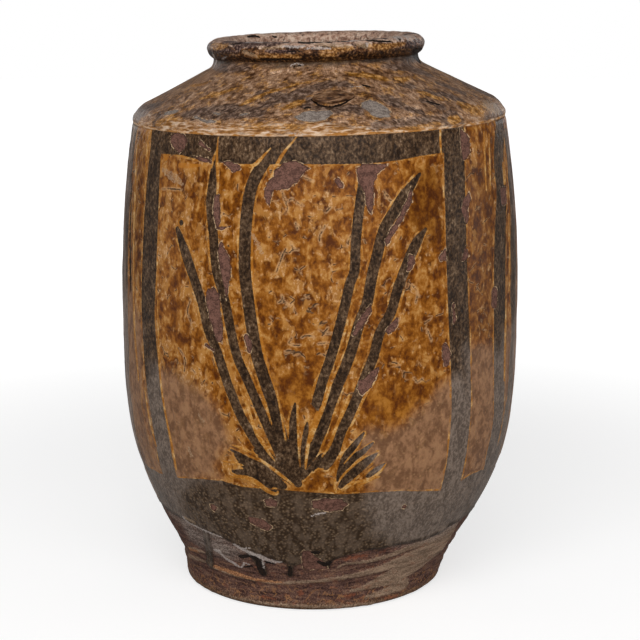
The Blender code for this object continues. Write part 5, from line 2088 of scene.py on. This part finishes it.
def shoulder_glaze(g):
    """The streaky brown, mauve and amber glaze of the shoulder and neck, with painted light on its lit
    streaks and painted shade under the rim.
    """
    thin = flowing(g, 1.8, 4.4, 27, 4.0, 0.3)
    scale = flowing(g, 4.0, 7.0, 28, 3.0, 0.9)
    patch = flowing(g, 12.0, 24.0, 29, 3.0, 0.5)
    speck = g.noise(1.3, 1.7, detail=3.0, seed=69, roughness=0.6)
    tone = g.add(g.add(g.times(thin, 0.34), g.times(scale, 0.36)), g.times(patch, 0.30))
    colour = g.ramp(
        tone,
        (0.40, 0.265, 0.16, 0.09),
        (0.455, 0.41, 0.285, 0.19),
        (0.50, 0.53, 0.395, 0.29),
        (0.545, 0.635, 0.495, 0.385),
        (0.62, 0.81, 0.67, 0.555),
    )
    lit = g.ramp(thin, (0.38, 0.40, 0.25, 0.08), (0.50, 0.58, 0.385, 0.15), (0.62, 0.80, 0.60, 0.36))
    warm = g.step(g.add(g.times(flowing(g, 5.0, 9.0, 30), 0.7), g.times(thin, 0.3)), 0.515, 0.585)
    colour = g.mix(g.times(warm, 0.6), colour, lit)
    blur = g.times(g.less(scale, 0.5), 10.0)
    dusk = g.step(g.add(rough_edge(g, "dark", 3.0, 5.0, 50), blur), -1.4, 2.0, 0.86, 0.0)
    mauve = g.ramp(thin, (0.38, 0.22, 0.155, 0.12), (0.50, 0.355, 0.275, 0.23), (0.62, 0.54, 0.45, 0.395))
    colour = g.mix(dusk, colour, mauve)
    # the amber strokes on the shoulder are its lit streaks, painted light
    amber = g.step(g.add(rough_edge(g, "amber", 2.0, 4.0), g.times(blur, 0.5)), -1.2, 1.6, 0.95, 0.0)
    colour = g.mix(amber, colour, lit)
    colour = g.shade(colour, g.step(speck, 0.36, 0.64, 0.70, 1.34))
    # painted shade at the top of the neck, under the rim
    along = g.add(g.attribute("along"), g.times(patch, 12.0))
    under = g.step(along, RIM_START - 1.0, RIM_START + 7.0, 0.0, 0.85)
    colour = g.mix(under, colour, rgb(0.13, 0.09, 0.05))
    height = g.add(g.add(g.times(scale, 0.0012), g.times(thin, 0.0008)), g.times(speck, 0.0003))
    gloss = g.add(0.30, g.times(patch, 0.18))
    colour, height = crease_line(g, colour, height, dusk)
    return wear(g, colour, gloss, height)


def rim_glaze(g):
    """The worn rim: pinkish clay on the crest and inside, brown and gold glaze in front, and painted shade
    below.
    """
    patch = g.noise(12.0, 5.0, detail=4.0, seed=31, roughness=0.6, warp=0.5)
    fine = g.noise(3.4, 1.9, detail=3.0, seed=32, roughness=0.6)
    tone = g.add(g.times(patch, 0.62), g.times(fine, 0.38))
    glazed = g.ramp(
        tone,
        (0.40, 0.15, 0.08, 0.04),
        (0.46, 0.28, 0.17, 0.095),
        (0.53, 0.45, 0.30, 0.18),
        (0.60, 0.62, 0.45, 0.30),
        (0.68, 0.86, 0.74, 0.64),
    )
    bare = g.ramp(
        tone,
        (0.38, 0.46, 0.33, 0.265),
        (0.48, 0.72, 0.575, 0.49),
        (0.60, 0.87, 0.765, 0.68),
    )
    crest = g.add(g.attribute("crest"), g.times(g.less(patch, 0.5), 2.2))
    colour = g.mix(g.step(crest, 0.38, 0.66), glazed, bare)
    crack = g.step(g.cracks(5.0, 33, 0.6), 0.015, 0.07, 0.8, 0.0)
    crack = g.times(crack, g.step(g.noise(7.0, detail=2.0, seed=51), 0.46, 0.55))
    colour = g.mix(crack, colour, rgb(0.19, 0.12, 0.10))
    blur = g.times(g.less(patch, 0.5), 3.0)
    dusk = g.step(g.add(rough_edge(g, "dark", 2.0, 2.4, 50), blur), -0.8, 0.9, 0.92, 0.0)
    shade = g.ramp(fine, (0.38, 0.14, 0.085, 0.08), (0.52, 0.32, 0.22, 0.20), (0.66, 0.66, 0.56, 0.50))
    # pitch: the colour of the painted shade under the rim, which dark strokes there take too
    pitch = g.ramp(fine, (0.38, 0.09, 0.04, 0.015), (0.52, 0.185, 0.105, 0.05), (0.66, 0.50, 0.34, 0.19))
    shade = g.mix(g.step(g.attribute("along"), RIM_START + 8.0, RIM_START + 13.0), pitch, shade)
    colour = g.mix(dusk, colour, shade)
    amber = g.step(g.add(rough_edge(g, "amber", 3.0, 2.4), blur), -1.2, 1.6, 0.8, 0.0)
    lit = g.ramp(fine, (0.38, 0.37, 0.21, 0.06), (0.50, 0.60, 0.40, 0.18), (0.62, 0.84, 0.65, 0.42))
    colour = g.mix(amber, colour, lit)
    # painted shade under the rim, below its crest
    along = g.add(g.attribute("along"), g.times(patch, 14.0))
    under = g.step(along, RIM_START + 8.0, RIM_START + 14.5, 0.9, 0.0)
    colour = g.mix(g.times(under, g.step(g.attribute("crest"), 0.0, 0.1, 1.0, 0.0)), colour, pitch)
    height = g.add(g.times(patch, 0.0018), g.times(fine, 0.0009))
    height = g.less(height, g.times(g.add(crack, dusk), 0.0003))
    return wear(g, colour, g.add(0.26, g.times(fine, 0.2)), height)


def inner_glaze(g):
    """The brown glaze inside, bare and pinkish at the throat."""
    patch = g.noise(18.0, 18.0, detail=4.0, seed=34)
    colour = g.ramp(patch, (0.35, 0.20, 0.14, 0.10), (0.65, 0.36, 0.26, 0.18))
    place = g.node("SeparateXYZ", {0: g.attribute("place", "Vector")}, "Z")
    clay = g.ramp(patch, (0.38, 0.50, 0.38, 0.325), (0.60, 0.70, 0.60, 0.54))
    colour = g.mix(g.step(place, RIM_SEAT_HEIGHT - 0.014, RIM_SEAT_HEIGHT - 0.004), colour, clay)
    return colour, g.add(0.32, g.times(patch, 0.1)), g.times(patch, 0.0004)


def base_clay(g):
    """The bare clay of the base."""
    colour, height = foot_clay(g)
    return colour, g.add(0.72, g.times(g.noise(1.0, detail=3.0, seed=23), 0.1)), height


def lump_glaze(g):
    """The striated brown lump."""
    line = g.noise(9.0, 1.6, detail=3.0, seed=35)
    speck = g.noise(1.2, detail=2.0, seed=36)
    colour = g.ramp(line, (0.38, 0.17, 0.10, 0.06), (0.5, 0.37, 0.25, 0.16), (0.62, 0.56, 0.43, 0.32))
    colour = g.mix(g.step(speck, 0.55, 0.7, 0.0, 0.5), colour, rgb(0.12, 0.08, 0.06))
    return colour, g.add(0.35, g.times(speck, 0.2)), g.times(line, 0.0007)


def material(name, recipe):
    g = Graph(name)
    colour, roughness, height = recipe(g)
    return g.finish(colour, roughness, height)


inside_material = material("inside", inner_glaze)
wall_material = material("painted_wall", wall_glaze)
lower_material = material("lower_wall_and_foot", lower_glaze)
shoulder_material = material("shoulder_streaks", shoulder_glaze)
rim_material = material("worn_rim", rim_glaze)
base_material = material("bare_base", base_clay)
lump_material = material("lump", lump_glaze)

# Materials of each section: outside and hidden faces
MATERIALS = {
    "base_disc": (lower_material, base_material),
    "foot_wall": (lower_material, inside_material),
    "lower_wall": (lower_material, inside_material),
    "belly_wall": (wall_material, inside_material),
    "upper_wall": (wall_material, inside_material),
    "shoulder": (shoulder_material, inside_material),
    "neck": (shoulder_material, inside_material),
    "rolled_rim": (rim_material, inside_material),
}
for index, section in enumerate(SECTIONS):
    build_section(index, MATERIALS[section[0]])
build_lump(lump_material)


# Floor, light and camera

WORLD_LEVEL = 0.17
FLOOR_SIZE = 12.0
FLOOR_GLOW = 0.62
FLOOR_GREY = 0.60
# Square lamps: name, place, the point that they are turned to, size and power in watts
LAMPS = (
    ("key", (-0.7, -2.3, 1.7), (0, 0, 0.25), 1.8, 40),
    ("fill", (0.9, -2.2, 1.1), (0, 0, 0.25), 1.6, 22),
    ("left_edge", (-1.15, 1.9, 0.7), (0, 0, 0.25), 0.7, 3),
    ("right_edge", (1.15, 1.9, 0.7), (0, 0, 0.25), 0.7, 2.5),
    ("left_side", (-1.6, 0.0, 0.2), (0, 0, 0.15), 0.7, 2.0),
    ("right_side", (1.6, 0.0, 0.2), (0, 0, 0.15), 0.7, 3.6),
)


def make_floor():
    """A plain white floor that keeps the jar's shadow and runs into the white background."""
    mesh = bpy.data.meshes.new("floor")
    half = FLOOR_SIZE / 2
    corners = [(-half, -half, 0), (half, -half, 0), (half, half, 0), (-half, half, 0)]
    mesh.from_pydata(corners, [], [(0, 1, 2, 3)])
    floor = link(bpy.data.objects.new("floor", mesh))
    g = Graph("floor")
    diffuse = g.node("BsdfDiffuse", {"Color": (FLOOR_GREY,) * 3 + (1.0,)})
    seen = g.node("LightPath", {}, "Is Camera Ray")
    place = g.node("NewGeometry", {}, "Position")
    away = g.node("VectorMath", {0: place}, "Value", operation="LENGTH")
    level = g.step(away, 0.4, 1.6, FLOOR_GLOW, 1.0)
    glow = g.node("Emission", {"Color": (1.0, 1.0, 1.0, 1.0), "Strength": g.times(seen, level)})
    both = g.node("AddShader", {0: diffuse, 1: glow})
    output = g.tree.nodes.new("ShaderNodeOutputMaterial")
    g.tree.links.new(both, output.inputs["Surface"])
    mesh.materials.append(g.material)


def make_world():
    """A white background and a plain white light from all round."""
    world = bpy.data.worlds.new("studio")
    world.use_nodes = True
    bpy.context.scene.world = world
    tree = world.node_tree
    background = tree.nodes["Background"]
    path = tree.nodes.new("ShaderNodeLightPath")
    level = tree.nodes.new("ShaderNodeMapRange")
    level.inputs["To Min"].default_value = WORLD_LEVEL
    level.inputs["To Max"].default_value = 1.0
    tree.links.new(path.outputs["Is Camera Ray"], level.inputs["Value"])
    background.inputs["Color"].default_value = (1, 1, 1, 1)
    tree.links.new(level.outputs[0], background.inputs["Strength"])


def add_lamp(name, place, aim, size, power):
    """A square soft lamp turned towards a point."""
    lamp = bpy.data.lights.new(name, "AREA")
    lamp.size = size
    lamp.energy = power
    item = link(bpy.data.objects.new(name, lamp))
    item.location = place
    way = Vector(aim) - Vector(place)
    item.rotation_euler = way.to_track_quat("-Z", "Y").to_euler()


def make_camera():
    """The camera that fits the photograph."""
    camera = bpy.data.cameras.new("camera")
    camera.sensor_width = 1000 * SENSOR_WIDTH
    camera.lens = FOCAL_PIXELS / PICTURE_WIDTH * 1000 * SENSOR_WIDTH
    item = link(bpy.data.objects.new("camera", camera))
    item.location = CAMERA_PLACE
    item.rotation_euler = (math.pi / 2 - CAMERA_PITCH, 0, 0)
    bpy.context.scene.camera = item


make_floor()
make_world()
for lamp in LAMPS:
    add_lamp(*lamp)
make_camera()
bpy.context.scene.view_settings.view_transform = "Standard"
